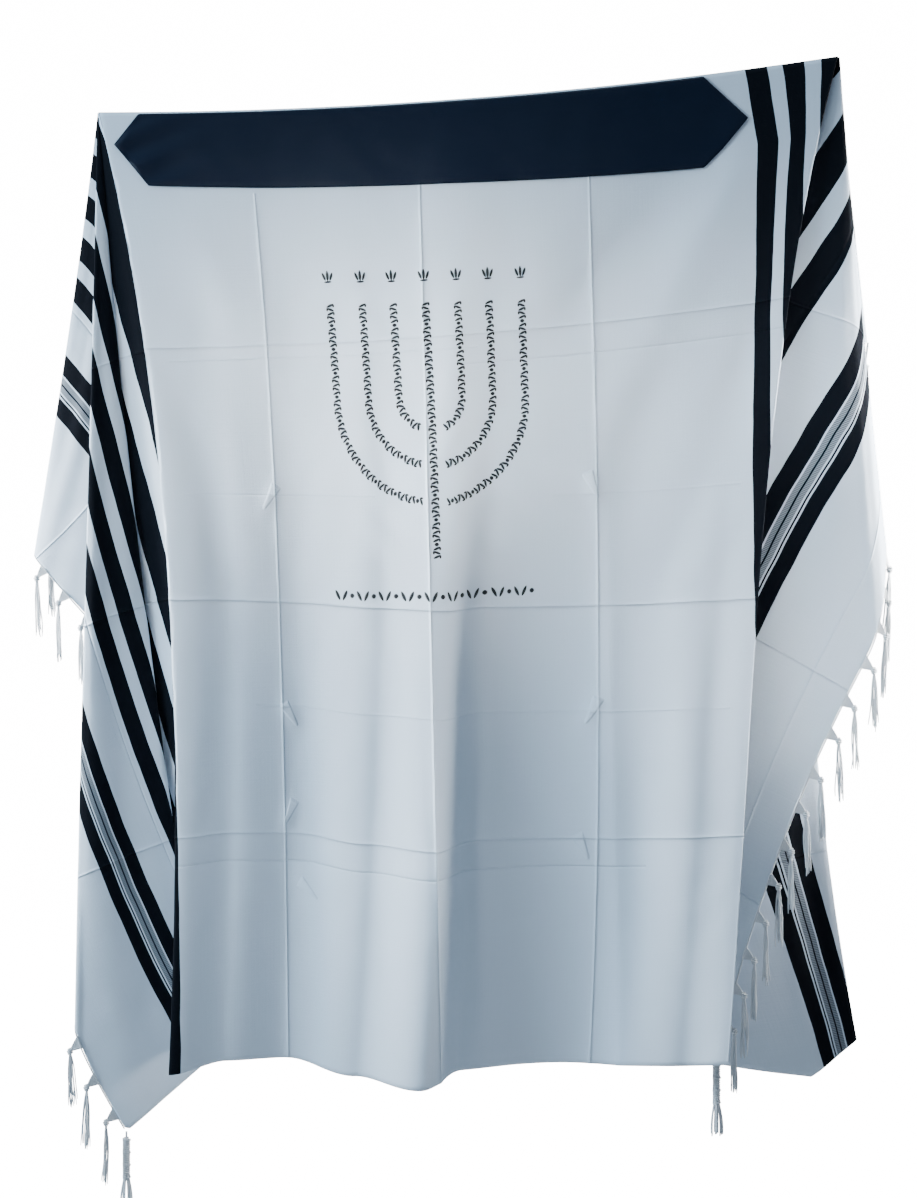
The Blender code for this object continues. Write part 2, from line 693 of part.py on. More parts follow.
def main():
    """Build the shawl."""
    build_cloth()
    build_fringes()
    build_tassels()


for old in list(bpy.data.objects):
    bpy.data.objects.remove(old, do_unlink=True)
COLLECTION = bpy.data.collections.new("tallit_prayer_shawl")
bpy.context.scene.collection.children.link(COLLECTION)
main()
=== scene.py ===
"""Looks of a tallit prayer shawl that hangs by its top edge from two grips.

The cloth is one rectangle. Its flat coordinates are metres: x from the left fringed end, and down from
the top edge. Between the grips it hangs as a panel, and outside each grip it falls in folds.
"""

import logging
import math
from dataclasses import astuple, dataclass, field, replace
from enum import Enum
from typing import Iterable, Sequence

import bpy
import numpy as np
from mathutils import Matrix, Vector


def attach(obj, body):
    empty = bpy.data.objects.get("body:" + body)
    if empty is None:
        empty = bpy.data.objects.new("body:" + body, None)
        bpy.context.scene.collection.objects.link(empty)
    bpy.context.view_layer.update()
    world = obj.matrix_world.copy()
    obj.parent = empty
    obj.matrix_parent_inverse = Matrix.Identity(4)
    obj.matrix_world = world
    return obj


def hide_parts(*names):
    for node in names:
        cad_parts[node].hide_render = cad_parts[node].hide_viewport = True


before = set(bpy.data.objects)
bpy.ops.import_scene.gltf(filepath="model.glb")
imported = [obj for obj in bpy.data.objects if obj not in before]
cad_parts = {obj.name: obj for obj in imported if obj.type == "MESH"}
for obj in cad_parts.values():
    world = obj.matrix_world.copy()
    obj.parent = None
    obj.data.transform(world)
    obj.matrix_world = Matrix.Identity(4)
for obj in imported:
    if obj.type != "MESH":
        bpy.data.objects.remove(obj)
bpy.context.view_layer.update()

LOG = logging.getLogger("shawl")

Array = np.ndarray
Material = bpy.types.Material
Piece = bpy.types.Object
Pair = tuple[float, float]
Triple = tuple[float, float, float]

CLOTH_HEIGHT = 1.36
PANEL_TOP_LENGTH = 1.0255
LEFT_END_LENGTH = 0.525
RIGHT_END_LENGTH = 0.390
CLOTH_LENGTH = LEFT_END_LENGTH + PANEL_TOP_LENGTH + RIGHT_END_LENGTH
CLOTH_THICKNESS = 0.0012
STRIPE_INSET_AT_RIGHT = 0.131      # how far inside the right grip the stripes begin
GRIP_PINCH = 0.0015                # cloth hidden inside each grip
UV_METRES = 2.0                    # metres of cloth across the whole UV square
HANG_STATIONS = (0.0, 0.7, 1.4)    # distances from a grip at which the folds' angles are given
SWELL_POWER = 0.95                 # how a fold's depth grows with the distance from its grip
TOP_EDGE_SAG = 0.019
UPPER_SHIFT_START = 0.08           # share of the height over which the waves' upper shift sets in
LARGEST_TURN = 0.45                # most of a stretch that one rounded turn takes
TURN_CALM = 0.25                   # share of the relief that is left right at a turn
TOP_CALM = 0.2                     # share of the relief that is left at the top edge
TOP_CALM_DOWN = 0.06               # how far down the relief reaches its full height
CREASE_TIP = 0.0000012             # rounds off a pressed crease's tip, in square metres
REACH_STEPS = 40                   # steps of each search by repeated guesses
END_STEPS = 20
FIND_STEPS = 8
TINY = 1e-9
SMALL = 1e-6


# Small helpers

def smooth_step(low: float, high: float, value: Array) -> Array:
    """Ease from 0 at low to 1 at high."""
    share = np.clip((value - low) / (high - low), 0.0, 1.0)
    return share * share * (3.0 - 2.0 * share)


def unit(vectors: Array) -> Array:
    """Vectors of length one."""
    return vectors / np.maximum(np.linalg.norm(vectors, axis=-1, keepdims=True), 1e-12)


def through_stations(values: Sequence[float], distance: Array) -> Array:
    """Value at a distance from the grip, on a parabola through the three stations.

    Args:
        values: the values at HANG_STATIONS.
        distance: distances from the grip, in metres.

    Returns:
        The value at each distance.
    """
    top, centre, low = values
    half = HANG_STATIONS[1] / HANG_STATIONS[2]
    share = distance / HANG_STATIONS[2]
    curve = ((low - top) - (centre - top) / half) / (1.0 - half)
    slope = (low - top) - curve
    return top + slope * share + curve * share * share


def swell(distance: Array) -> Array:
    """How much of its depth at the hem a fold has at this distance from the grip."""
    return (np.maximum(distance, 0.0) / CLOTH_HEIGHT) ** SWELL_POWER


def deselect() -> None:
    """Clear the selection."""
    bpy.ops.object.select_all(action="DESELECT")


def apply_modifier(piece: Piece, kind: str, **settings: object) -> None:
    """Add a modifier to a piece and apply it.

    Args:
        piece: the mesh object.
        kind: the modifier's type.
        **settings: its settings by name.
    """
    deselect()
    bpy.context.view_layer.objects.active = piece
    piece.select_set(True)
    modifier = piece.modifiers.new(kind.lower(), kind)
    for name, value in settings.items():
        setattr(modifier, name, value)
    bpy.ops.object.modifier_apply(modifier=modifier.name)


def seat_piece(piece: Piece, nodes: Sequence[str], finish: Material) -> None:
    """Dress a piece, tie it to the object and hide the solids it stands for.

    Args:
        piece: the finished mesh object.
        nodes: the solids that the piece replaces.
        finish: its material.
    """
    piece.data.materials.clear()
    piece.data.materials.append(finish)
    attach(piece, "root")
    if nodes:
        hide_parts(*nodes)
    LOG.info("%s: %d faces", piece.name, len(piece.data.polygons))


def grid_piece(name: str, points: Array, flat: Array | None = None) -> Piece:
    """Shape a grid primitive into a surface.

    Args:
        name: the piece's name.
        points: rows x columns x 3 world positions, rows from the top, columns from the left.
        flat: rows x columns x 2 cloth coordinates for the UV map.

    Returns:
        The mesh object.
    """
    rows, columns = points.shape[:2]
    deselect()
    bpy.ops.mesh.primitive_grid_add(x_subdivisions=columns - 1, y_subdivisions=rows - 1, size=2.0)
    piece = bpy.context.active_object
    piece.name = name
    mesh = piece.data
    mesh.name = name
    start = np.empty(len(mesh.vertices) * 3)
    mesh.vertices.foreach_get("co", start)
    start = start.reshape(-1, 3)
    column = np.rint((start[:, 0] + 1.0) / 2.0 * (columns - 1)).astype(int)
    row = np.rint((1.0 - start[:, 1]) / 2.0 * (rows - 1)).astype(int)
    mesh.vertices.foreach_set("co", points[row, column].reshape(-1))
    if flat is not None:
        layer = mesh.uv_layers[0] if mesh.uv_layers else mesh.uv_layers.new()
        layer.name = "cloth"
        corner = np.empty(len(mesh.loops), dtype=int)
        mesh.loops.foreach_get("vertex_index", corner)
        places = flat[row, column][corner] / UV_METRES
        places[:, 1] = 1.0 - places[:, 1]
        layer.data.foreach_set("uv", places.reshape(-1))
    mesh.shade_smooth()
    mesh.update()
    return piece


def joined_piece(name: str, points: Array, faces: list[tuple[int, ...]], along: Array) -> Piece:
    """Piece made of many copies of small shapes.

    Args:
        name: the piece's name.
        points: all points, n x 3.
        faces: all faces as point numbers.
        along: for each point, two metres values for its UV map, such as distance along and round a yarn.

    Returns:
        The mesh object.
    """
    mesh = bpy.data.meshes.new(name)
    mesh.from_pydata(points.tolist(), [], faces)
    layer = mesh.uv_layers.new(name="cloth")
    corner = np.empty(len(mesh.loops), dtype=int)
    mesh.loops.foreach_get("vertex_index", corner)
    layer.data.foreach_set("uv", along[corner].reshape(-1))
    mesh.shade_smooth()
    piece = bpy.data.objects.new(name, mesh)
    bpy.context.scene.collection.objects.link(piece)
    return piece


# How the cloth hangs

@dataclass(frozen=True)
class Fold:
    """One turn of the cloth outside a grip, as a line from the grip.

    flat and hang are degrees from straight down, outwards positive, at HANG_STATIONS. aside and base are
    millimetres at the grip, back is metres behind it at the hem, turn is the radius of the rounded turn in
    millimetres, and hem is how far down the cloth its hem lies there, in metres.
    """

    name: str
    flat: Triple
    hang: Triple
    aside: float
    base: float
    back: float
    turn: float
    hem: float


LEFT_FOLDS = (
    Fold("panel_edge", (0.0, 0.0, 1.2), (-14.3, -8.3, -4.0), 0.0, 0.0, -0.030, 0.0, 1.325),
    Fold("panel_edge_back", (0.5, 0.4, 1.6), (-14.4, -8.4, -4.1), 0.0, 1.8, -0.016, 3.0, 1.325),
    Fold("hidden_valley", (1.0, 3.9, 10.5), (-14.8, -9.4, -8.4), -0.6, 3.2, 0.055, 8.0, 1.270),
    Fold("valley_inner", (7.2, 8.4, 12.0), (-3.5, -5.2, -6.3), 0.8, 5.0, 0.108, 12.0, 1.270),
    Fold("valley_tuck", (9.2, 9.8, 13.8), (-2.8, -4.3, -5.4), 0.8, 6.2, 0.118, 4.0, 1.280),
    Fold("valley_edge", (11.5, 11.4, 16.0), (-3.4, -5.1, -6.2), 0.8, 4.0, 0.092, 10.0, 1.290),
    Fold("near_ridge", (17.5, 21.4, 24.9), (1.4, 1.8, 1.7), 1.9, 6.9, 0.030, 34.0, 1.335),
    Fold("near_ridge_back", (18.2, 21.9, 25.35), (1.3, 1.7, 1.6), 1.9, 9.5, 0.050, 4.0, 1.335),
    Fold("inner_turn", (38.0, 38.0, 38.0), (-7.5, -7.5, -7.5), -1.5, 10.6, 0.170, 4.0, 1.335),
    Fold("inner_turn_back", (38.8, 38.8, 38.8), (-7.4, -7.4, -7.4), -1.5, 13.2, 0.190, 4.0, 1.335),
    Fold("far_ridge", (83.0, 56.0, 50.0), (8.8, 10.4, 10.4), 3.0, 14.0, 0.230, 24.0, 1.335),
    Fold("far_ridge_back", (83.8, 56.8, 50.8), (8.7, 10.3, 10.3), 3.0, 16.6, 0.255, 4.0, 1.335),
    Fold("last_turn", (86.6, 73.0, 70.0), (-5.0, -5.0, -5.0), -1.5, 18.2, 0.350, 4.0, 1.335),
    Fold("last_turn_back", (87.3, 73.8, 70.8), (-4.9, -4.9, -4.9), -1.5, 21.0, 0.375, 4.0, 1.335),
    Fold("top_edge", (90.0, 90.0, 90.0), (5.0, 5.0, 5.0), 1.0, 23.0, 0.350, 0.0, 1.335),
)

RIGHT_FOLDS = (
    Fold("panel_edge", (-13.3, -9.7, -7.0), (-14.8, -8.9, -6.4), 0.0, 0.0, -0.030, 0.0, 1.383),
    Fold("panel_edge_back", (-12.8, -9.2, -6.6), (-14.9, -9.0, -6.5), 0.0, 2.6, -0.018, 3.0, 1.383),
    Fold("wrap", (-10.4, -6.1, -4.5), (-17.2, -12.0, -8.6), -3.0, 4.0, 0.010, 4.0, 1.378),
    Fold("wrap_back", (-7.4, -2.1, -1.5), (-17.2, -12.0, -8.6), -3.0, 13.0, 0.085, 4.0, 1.372),
    Fold("low_ridge", (1.4, 6.5, 7.0), (-8.2, -3.0, 1.9), 0.5, 14.0, 0.092, 3.0, 1.362),
    Fold("low_ridge_front", (1.9, 7.0, 7.5), (-8.2, -3.0, 1.9), 0.5, 11.2, 0.076, 3.0, 1.362),
    Fold("reverse_middle", (5.5, 10.5, 10.8), (-12.2, -6.9, -1.0), 0.2, 9.8, 0.058, 30.0, 1.398),
    Fold("near_turn", (9.2, 14.2, 14.9), (-16.2, -11.2, -7.6), 0.0, 8.6, 0.042, 3.0, 1.360),
    Fold("near_turn_front", (9.7, 14.7, 15.4), (-16.1, -11.1, -7.5), 0.0, 6.0, 0.022, 20.0, 1.340),
    Fold("near_curl", (19.0, 29.0, 29.0), (2.2, 4.1, 4.1), 2.0, 5.6, -0.018, 25.0, 1.300),
    Fold("near_ridge", (22.5, 36.0, 36.0), (4.6, 5.8, 5.8), 3.0, 6.2, 0.022, 10.0, 1.300),
    Fold("near_ridge_back", (27.0, 41.0, 41.0), (4.0, 5.0, 5.0), 3.0, 17.0, 0.150, 8.0, 1.300),
    Fold("last_turn", (60.0, 62.0, 62.0), (-18.0, -16.0, -16.0), -2.0, 17.6, 0.165, 4.0, 1.300),
    Fold("last_turn_back", (60.8, 62.8, 62.8), (-17.9, -15.9, -15.9), -2.0, 20.4, 0.190, 4.0, 1.300),
    Fold("top_edge", (90.0, 90.0, 90.0), (8.0, 8.0, 8.0), 1.0, 22.0, 0.190, 0.0, 1.300),
)


@dataclass(frozen=True)
class Wave:
    """One of the panel's soft waves.

    cut and hung are shares of the cut and the hung width, upper is how far the upper part shifts towards
    the right grip, back is the depth at the hem and lift is the hem's height above a straight line.
    """

    cut: float
    hung: float
    upper: float
    back: float
    lift: float


PANEL_WAVES = (
    Wave(0.000, 0.000, 0.000, -0.030, 0.0000),
    Wave(0.117, 0.098, 0.000, 0.002, 0.0115),
    Wave(0.234, 0.201, 0.003, 0.030, 0.0090),
    Wave(0.370, 0.330, 0.006, 0.004, -0.0125),
    Wave(0.480, 0.450, 0.009, -0.038, -0.0260),
    Wave(0.560, 0.530, 0.011, -0.002, -0.0090),
    Wave(0.761, 0.756, 0.014, 0.024, -0.0090),
    Wave(0.920, 0.916, 0.018, -0.012, -0.0040),
    Wave(1.000, 1.000, 0.000, -0.030, 0.0000),
)


@dataclass
class Side:
    """The cloth outside one grip.

    outward is -1 at the left grip and 1 at the right one, end_length is how much cloth lies outside the
    grip, and edge_x is the cloth's own x at the grip.
    """

    grip: Array
    outward: float
    end_length: float
    folds: tuple[Fold, ...]
    edge_x: float

    def lines(self, distance: Array) -> Array:
        """Run every fold's line.

        Args:
            distance: n distances from the grip.

        Returns:
            Flat angle, hang angle, shift and depth of every fold at each distance, folds x n x 4.
        """
        rows = [
            np.stack((
                np.radians(through_stations(fold.flat, distance)),
                np.radians(through_stations(fold.hang, distance)),
                np.full_like(distance, fold.aside * 0.001),
                fold.base * 0.001 + fold.back * swell(distance),
            ), axis=-1)
            for fold in self.folds
        ]
        return np.stack(rows)

    def turn_ends(self, lines: Array, index: int, distance: Array) -> tuple[Array, Array]:
        """Find where the rounded turn at a fold starts and ends.

        Args:
            lines: what lines() gives at these distances.
            index: the fold's number.
            distance: n distances from the grip.

        Returns:
            The turn's start and end, each n x 4 as in lines.
        """
        corner = lines[index]
        ends = []
        for other in (lines[index - 1], lines[index + 1]):
            sideways = (other[:, 1] - corner[:, 1]) * distance + other[:, 2] - corner[:, 2]
            gap = np.hypot(sideways, other[:, 3] - corner[:, 3]) + SMALL
            share = np.minimum(LARGEST_TURN, self.folds[index].turn * 0.001 / gap)[:, None]
            ends.append(corner + (other - corner) * share)
        return ends[0], ends[1]

    def hung(self, distance: Array, angle: Array) -> Array:
        """Hang of the cloth, straight between its folds and rounded at them.

        Args:
            distance: n distances from the grip.
            angle: n flat angles, in radians.

        Returns:
            Flat angle, hang angle, shift and depth, n x 4.
        """
        lines = self.lines(distance)
        last = len(self.folds) - 1
        result = np.zeros((len(distance), 4))
        for index in range(last):
            one, other = lines[index], lines[index + 1]
            inside = angle <= other[:, 0] if index < last - 1 else np.full(len(angle), True)
            fresh = inside & (result[:, 0] == 0.0)
            share = ((angle - one[:, 0]) / (other[:, 0] - one[:, 0]))[:, None]
            flat = one + (other - one) * share
            flat[:, 0] += TINY
            result[fresh] = flat[fresh]
        for index in range(1, last):
            start, end = self.turn_ends(lines, index, distance)
            corner = lines[index]
            inside = (start[:, 0] <= angle) & (angle <= end[:, 0])
            bend = start[:, 0] - 2.0 * corner[:, 0] + end[:, 0]
            run = 2.0 * (corner[:, 0] - start[:, 0])
            drop = start[:, 0] - angle
            root = np.sqrt(np.maximum(0.0, run * run - 4.0 * bend * drop))
            twice = np.where(bend == 0.0, 1.0, 2.0 * bend)
            bent = np.where(np.abs(bend) < TINY, -drop / run, (-run + root) / twice)
            share = np.clip(bent, 0.0, 1.0)[:, None]
            rest = 1.0 - share
            curve = start * rest * rest + corner * (2.0 * rest * share) + end * share * share
            result[inside] = curve[inside]
        return result

    def on_line(self, distance: Array, hang: Array, aside: Array, back: Array) -> Array:
        """World positions at distances along lines that hang from the grip, n x 3."""
        sideways = aside + distance * np.sin(hang)
        return self.grip + np.stack((self.outward * sideways, back, -distance * np.cos(hang)), axis=-1)

    def at(self, distance: Array, angle: Array) -> Array:
        """World positions of the cloth at distances and flat angles from the grip, n x 3."""
        line = self.hung(distance, angle)
        return self.on_line(distance, line[:, 1], line[:, 2], line[:, 3])

    def on_fold(self, distance: Array, index: int) -> tuple[Array, Array]:
        """Follow one fold's own line.

        Args:
            distance: n distances from the grip.
            index: the fold's number.

        Returns:
            World positions, n x 3, and flat angles, n.
        """
        fold = self.folds[index]
        hang = np.radians(through_stations(fold.hang, distance))
        back = fold.base * 0.001 + fold.back * swell(distance)
        points = self.on_line(distance, hang, np.full_like(distance, fold.aside * 0.001), back)
        return points, np.radians(through_stations(fold.flat, distance))

    def column_angle(self, place: Array, distance: Array) -> Array:
        """Flat angle of columns of cloth.

        Args:
            place: n columns, each a fold's number plus the share of the way to the next fold.
            distance: n distances from the grip.

        Returns:
            The n flat angles, in radians.
        """
        angles = np.stack([np.radians(through_stations(fold.flat, distance)) for fold in self.folds])
        index = np.minimum(place.astype(int), len(self.folds) - 2)
        share = place - index
        pick = np.arange(len(place))
        return angles[index, pick] * (1.0 - share) + angles[index + 1, pick] * share

    def hem_at(self, angle: Array) -> Array:
        """How far down the cloth its hem lies at flat angles."""
        angles = [math.radians(fold.flat[2]) for fold in self.folds]
        return np.interp(angle, angles, [fold.hem for fold in self.folds])

    def reach(self, place: Array) -> Array:
        """Distance from the grip to the cloth's hem or its fringed end.

        Args:
            place: n columns, as in column_angle.

        Returns:
            The n distances.
        """
        distance = np.full(len(place), CLOTH_HEIGHT)
        for _ in range(REACH_STEPS):
            angle = self.column_angle(place, distance)
            hem = self.hem_at(angle) / np.maximum(np.cos(angle), SMALL)
            end = np.where(angle > SMALL, self.end_length / np.maximum(np.sin(angle), TINY), hem)
            distance = 0.5 * distance + 0.5 * np.minimum(hem, end)
        return distance

    def end_height(self) -> float:
        """Measure the fringed end.

        Returns:
            Its length from the top edge to the lower corner.
        """
        height = CLOTH_HEIGHT
        for _ in range(END_STEPS):
            height = float(self.hem_at(np.array([math.atan2(self.end_length, height)]))[0])
        return height

    def at_flat(self, along: float, down: float) -> Array:
        """World position at a distance outside the grip and down from the top edge."""
        return self.at(np.array([math.hypot(along, down)]), np.array([math.atan2(along, down)]))[0]

    def flat_x(self, distance: Array, angle: Array) -> Array:
        """Cloth coordinate x of points outside the grip."""
        return self.edge_x + self.outward * distance * np.sin(angle)

    def end_frame(self, down: float, step: float = 0.002) -> tuple[Array, Array, Array]:
        """Place of the fringed end, at a distance from the top edge.

        Args:
            down: the distance down the end.
            step: how far from there its directions are read.

        Returns:
            The edge's point, the direction out of the cloth and the direction down the edge.
        """
        end = self.end_length
        edge = self.at_flat(end, down)
        outward = unit(self.at_flat(end + 2.0 * step, down) - edge)
        along = unit(self.at_flat(end, down + step) - self.at_flat(end, down - step))
        return edge, outward, along


LEFT = Side(
    grip=np.array((-1.0193, 0.0, -0.0771)), outward=-1.0, end_length=LEFT_END_LENGTH,
    folds=LEFT_FOLDS, edge_x=LEFT_END_LENGTH)
RIGHT = Side(
    grip=np.array((0.0, 0.0, 0.0)), outward=1.0, end_length=RIGHT_END_LENGTH,
    folds=RIGHT_FOLDS, edge_x=LEFT_END_LENGTH + PANEL_TOP_LENGTH)


def wave_value(share: Array, column: str) -> Array:
    """A column of PANEL_WAVES, eased from wave to wave, but straight for the hung widths.

    Args:
        share: shares of the cut width.
        column: the name of the Wave's field.

    Returns:
        The value at each share.
    """
    cuts = np.array([wave.cut for wave in PANEL_WAVES])
    values = np.array([getattr(wave, column) for wave in PANEL_WAVES])
    index = np.clip(np.searchsorted(cuts, share, side="right") - 1, 0, len(cuts) - 2)
    ease = (share - cuts[index]) / (cuts[index + 1] - cuts[index])
    if column != "hung":
        ease = ease * ease * (3.0 - 2.0 * ease)
    return values[index] * (1.0 - ease) + values[index + 1] * ease


@dataclass
class Panel:
    """The stretch between the grips, with how far down its left and its right edge reach."""

    left: Side
    right: Side
    reaches: tuple[float, ...] = ()

    def __post_init__(self) -> None:
        """Find how far down the panel's two edges reach."""
        self.reaches = tuple(float(side.reach(np.zeros(1))[0]) for side in (self.left, self.right))

    def edge(self, side: Side, reach: float, height: Array) -> tuple[Array, Array]:
        """Follow one of the panel's edges.

        Args:
            side: the cloth outside that edge.
            reach: how far the edge reaches from its grip.
            height: n shares of the height.

        Returns:
            World positions, n x 3, and cloth coordinates, n x 2.
        """
        distance = GRIP_PINCH + height * (reach - GRIP_PINCH)
        points, angle = side.on_fold(distance, 0)
        return points, np.stack((side.flat_x(distance, angle), distance * np.cos(angle)), axis=-1)

    def at(self, share: Array, height: Array) -> tuple[Array, Array]:
        """Hang the panel.

        Args:
            share: n shares of the cut width.
            height: n shares of the height.

        Returns:
            World positions, n x 3, and cloth coordinates, n x 2.
        """
        left, left_flat = self.edge(self.left, self.reaches[0], height)
        right, right_flat = self.edge(self.right, self.reaches[1], height)
        upper = np.minimum(1.0, height / UPPER_SHIFT_START) * (1.0 - height)
        hung = share + (wave_value(share, "hung") - share) * height + wave_value(share, "upper") * upper
        points = left + (right - left) * hung[:, None]
        sag = TOP_EDGE_SAG * 4.0 * share * (1.0 - share)
        points[:, 2] += wave_value(share, "lift") * height ** 2 - sag * (1.0 - height)
        points[:, 1] = wave_value(share, "back") * swell(height * CLOTH_HEIGHT)
        return points, left_flat + (right_flat - left_flat) * share[:, None]

    def find(self, x: Array, down: Array) -> tuple[Array, Array]:
        """Find where the panel has given cloth coordinates.

        Args:
            x: n places along the cloth.
            down: n places down it.

        Returns:
            The n shares of the cut width and the n shares of the height.
        """
        share = (x - LEFT_END_LENGTH) / PANEL_TOP_LENGTH
        height = down / CLOTH_HEIGHT
        for _ in range(FIND_STEPS):
            _, flat = self.at(share, height)
            share = share + (x - flat[:, 0]) / PANEL_TOP_LENGTH
            height = height + (down - flat[:, 1]) / CLOTH_HEIGHT
        return share, height


PANEL = Panel(LEFT, RIGHT)


# Creases and soft folds

@dataclass(frozen=True)
class PressedCrease:
    """A crease from storage, across the cloth or down it.

    at is its place at the left grip (across) or at its top (down), slope its drift over the panel's width
    or the cloth's height, and bow how far its middle strays. It shows from start to end.
    """

    at: float
    start: float
    end: float
    rise: float
    slope: float = 0.0
    bow: float = 0.0
    width: float = 0.0045


@dataclass(frozen=True)
class Pinch:
    """A small crumple where two creases meet, turned from straight down in radians."""

    x: float
    down: float
    rise: float
    turn: float
    size: float = 0.012


@dataclass(frozen=True)
class SoftFold:
    """A long soft trough or ridge between two points of the cloth."""

    x0: float
    down0: float
    x1: float
    down1: float
    width: float
    rise: float


ACROSS_CREASES = (
    PressedCrease(0.334, 0.00, 1.94, 0.0018),
    PressedCrease(0.352, 0.56, 1.02, 0.0010),
    PressedCrease(0.376, 1.00, 1.56, -0.0014),
    PressedCrease(0.535, 0.55, 0.86, 0.0010, 0.05),
    PressedCrease(0.540, 1.12, 1.40, 0.0010, 0.05),
    PressedCrease(0.680, 0.00, 1.94, 0.0026, 0.075),
    PressedCrease(0.826, 0.66, 1.38, 0.0013, 0.078),
    PressedCrease(1.005, 0.00, 1.94, 0.0022, 0.076),
    PressedCrease(1.044, 0.50, 1.25, -0.0018, 0.077),
)

DOWN_CREASES = (
    PressedCrease(0.2710, 0.00, 1.40, -0.0014),
    PressedCrease(0.7270, 0.12, 1.40, 0.0018, -0.012, -0.018),
    PressedCrease(0.9590, 0.12, 1.40, 0.0024, -0.004, -0.020),
    PressedCrease(1.1880, 0.12, 1.40, 0.0020, -0.016, 0.003),
    PressedCrease(1.6550, 0.00, 1.40, -0.0014),
    PressedCrease(1.8860, 0.00, 1.40, 0.0014),
)

PINCHES = (
    Pinch(0.697, 0.546, 0.0040, 0.6),
    Pinch(1.178, 0.560, 0.0045, -0.35),
    Pinch(0.716, 0.852, 0.0040, -0.6),
    Pinch(1.172, 0.874, 0.0040, 0.5),
    Pinch(0.712, 0.990, 0.0030, 0.5),
    Pinch(1.158, 1.064, 0.0030, -0.4),
    Pinch(0.745, 1.100, 0.0025, -0.9),
)

SOFT_FOLDS = (
    SoftFold(1.44, 0.08, 1.12, 0.60, 0.040, 0.0055),
    SoftFold(1.34, 0.12, 0.98, 0.50, 0.045, -0.0045),
    SoftFold(1.46, 0.28, 1.25, 0.78, 0.035, -0.0045),
    SoftFold(0.57, 0.10, 0.80, 0.50, 0.040, 0.0035),
    SoftFold(0.55, 0.30, 0.66, 0.85, 0.032, -0.0035),
    SoftFold(0.80, 0.70, 0.80, 1.34, 0.050, 0.0015),
    SoftFold(1.24, 0.85, 1.23, 1.34, 0.035, -0.0050),
    SoftFold(1.31, 0.70, 1.33, 1.34, 0.035, 0.0040),
)


@dataclass(frozen=True)
class CentreRidge:
    """The panel's middle crease lower down, above a trough at its right and a slight swell at its left."""

    crease: PressedCrease = DOWN_CREASES[2]
    right_depth: float = 0.029
    right_width: float = 0.262
    left_depth: float = -0.004
    left_width: float = 0.200
    start: float = 0.44
    full: float = 0.86

    def rise(self, x: Array, down: Array) -> Array:
        """Height above the smooth cloth.

        Args:
            x: places along the cloth.
            down: places down it.

        Returns:
            The height in metres, below zero in the trough.
        """
        offset = x - crease_place(self.crease, down, CLOTH_HEIGHT)
        right = np.sin(np.pi * np.clip(offset / self.right_width, 0.0, 1.0)) * self.right_depth
        left = np.sin(np.pi * np.clip(-offset / self.left_width, 0.0, 1.0)) * self.left_depth
        return -(left + right) * smooth_step(self.start, self.full, down)


def crease_place(crease: PressedCrease, along: Array, length: float) -> Array:
    """Where a crease runs at a place along it."""
    share = along / length
    return crease.at + crease.slope * share + crease.bow * 4.0 * share * (1.0 - share)


def crease_profile(offset: Array, width: float) -> Array:
    """Section of a pressed crease: a soft-pointed ridge."""
    return np.exp(-np.sqrt(offset * offset + CREASE_TIP) / width)


@dataclass(frozen=True)
class Unevenness:
    """How a crease's height varies along it: the share that varies, its pace and its phase by place."""

    share: float
    pace: float
    phase: float

    def at(self, along: Array, place: float) -> Array:
        """Share of the full height at places along the crease that lies at place."""
        return 1.0 - self.share + self.share * np.sin(along * self.pace + place * self.phase)


@dataclass(frozen=True)
class Mottle:
    """Small soft crumpling of the whole cloth, strongest over a worked patch below the neck band.

    The paces are radians in a metre. Each warp is how far the pattern strays, and at what pace.
    """

    along_pace: float = 61.0
    along_warp: Pair = (2.1, 27.0)
    down_pace: float = 53.0
    down_warp: Pair = (1.7, 31.0)
    height: float = 0.0004
    worked_height: float = 0.0012
    worked_centre: Pair = (0.95, 0.43)
    worked_size: Pair = (0.17, 0.22)

    def rise(self, x: Array, down: Array) -> Array:
        """Height above the smooth cloth.

        Args:
            x: places along the cloth.
            down: places down it.

        Returns:
            The height in metres, either side of zero.
        """
        along_wave = np.sin(x * self.along_pace + self.along_warp[0] * np.sin(down * self.along_warp[1]))
        down_wave = np.sin(down * self.down_pace + self.down_warp[0] * np.sin(x * self.down_warp[1] + 1.0))
        off_x = (x - self.worked_centre[0]) / self.worked_size[0]
        off_down = (down - self.worked_centre[1]) / self.worked_size[1]
        worked = np.exp(-off_x ** 4 - off_down ** 4)
        return along_wave * down_wave * (self.height + self.worked_height * worked)


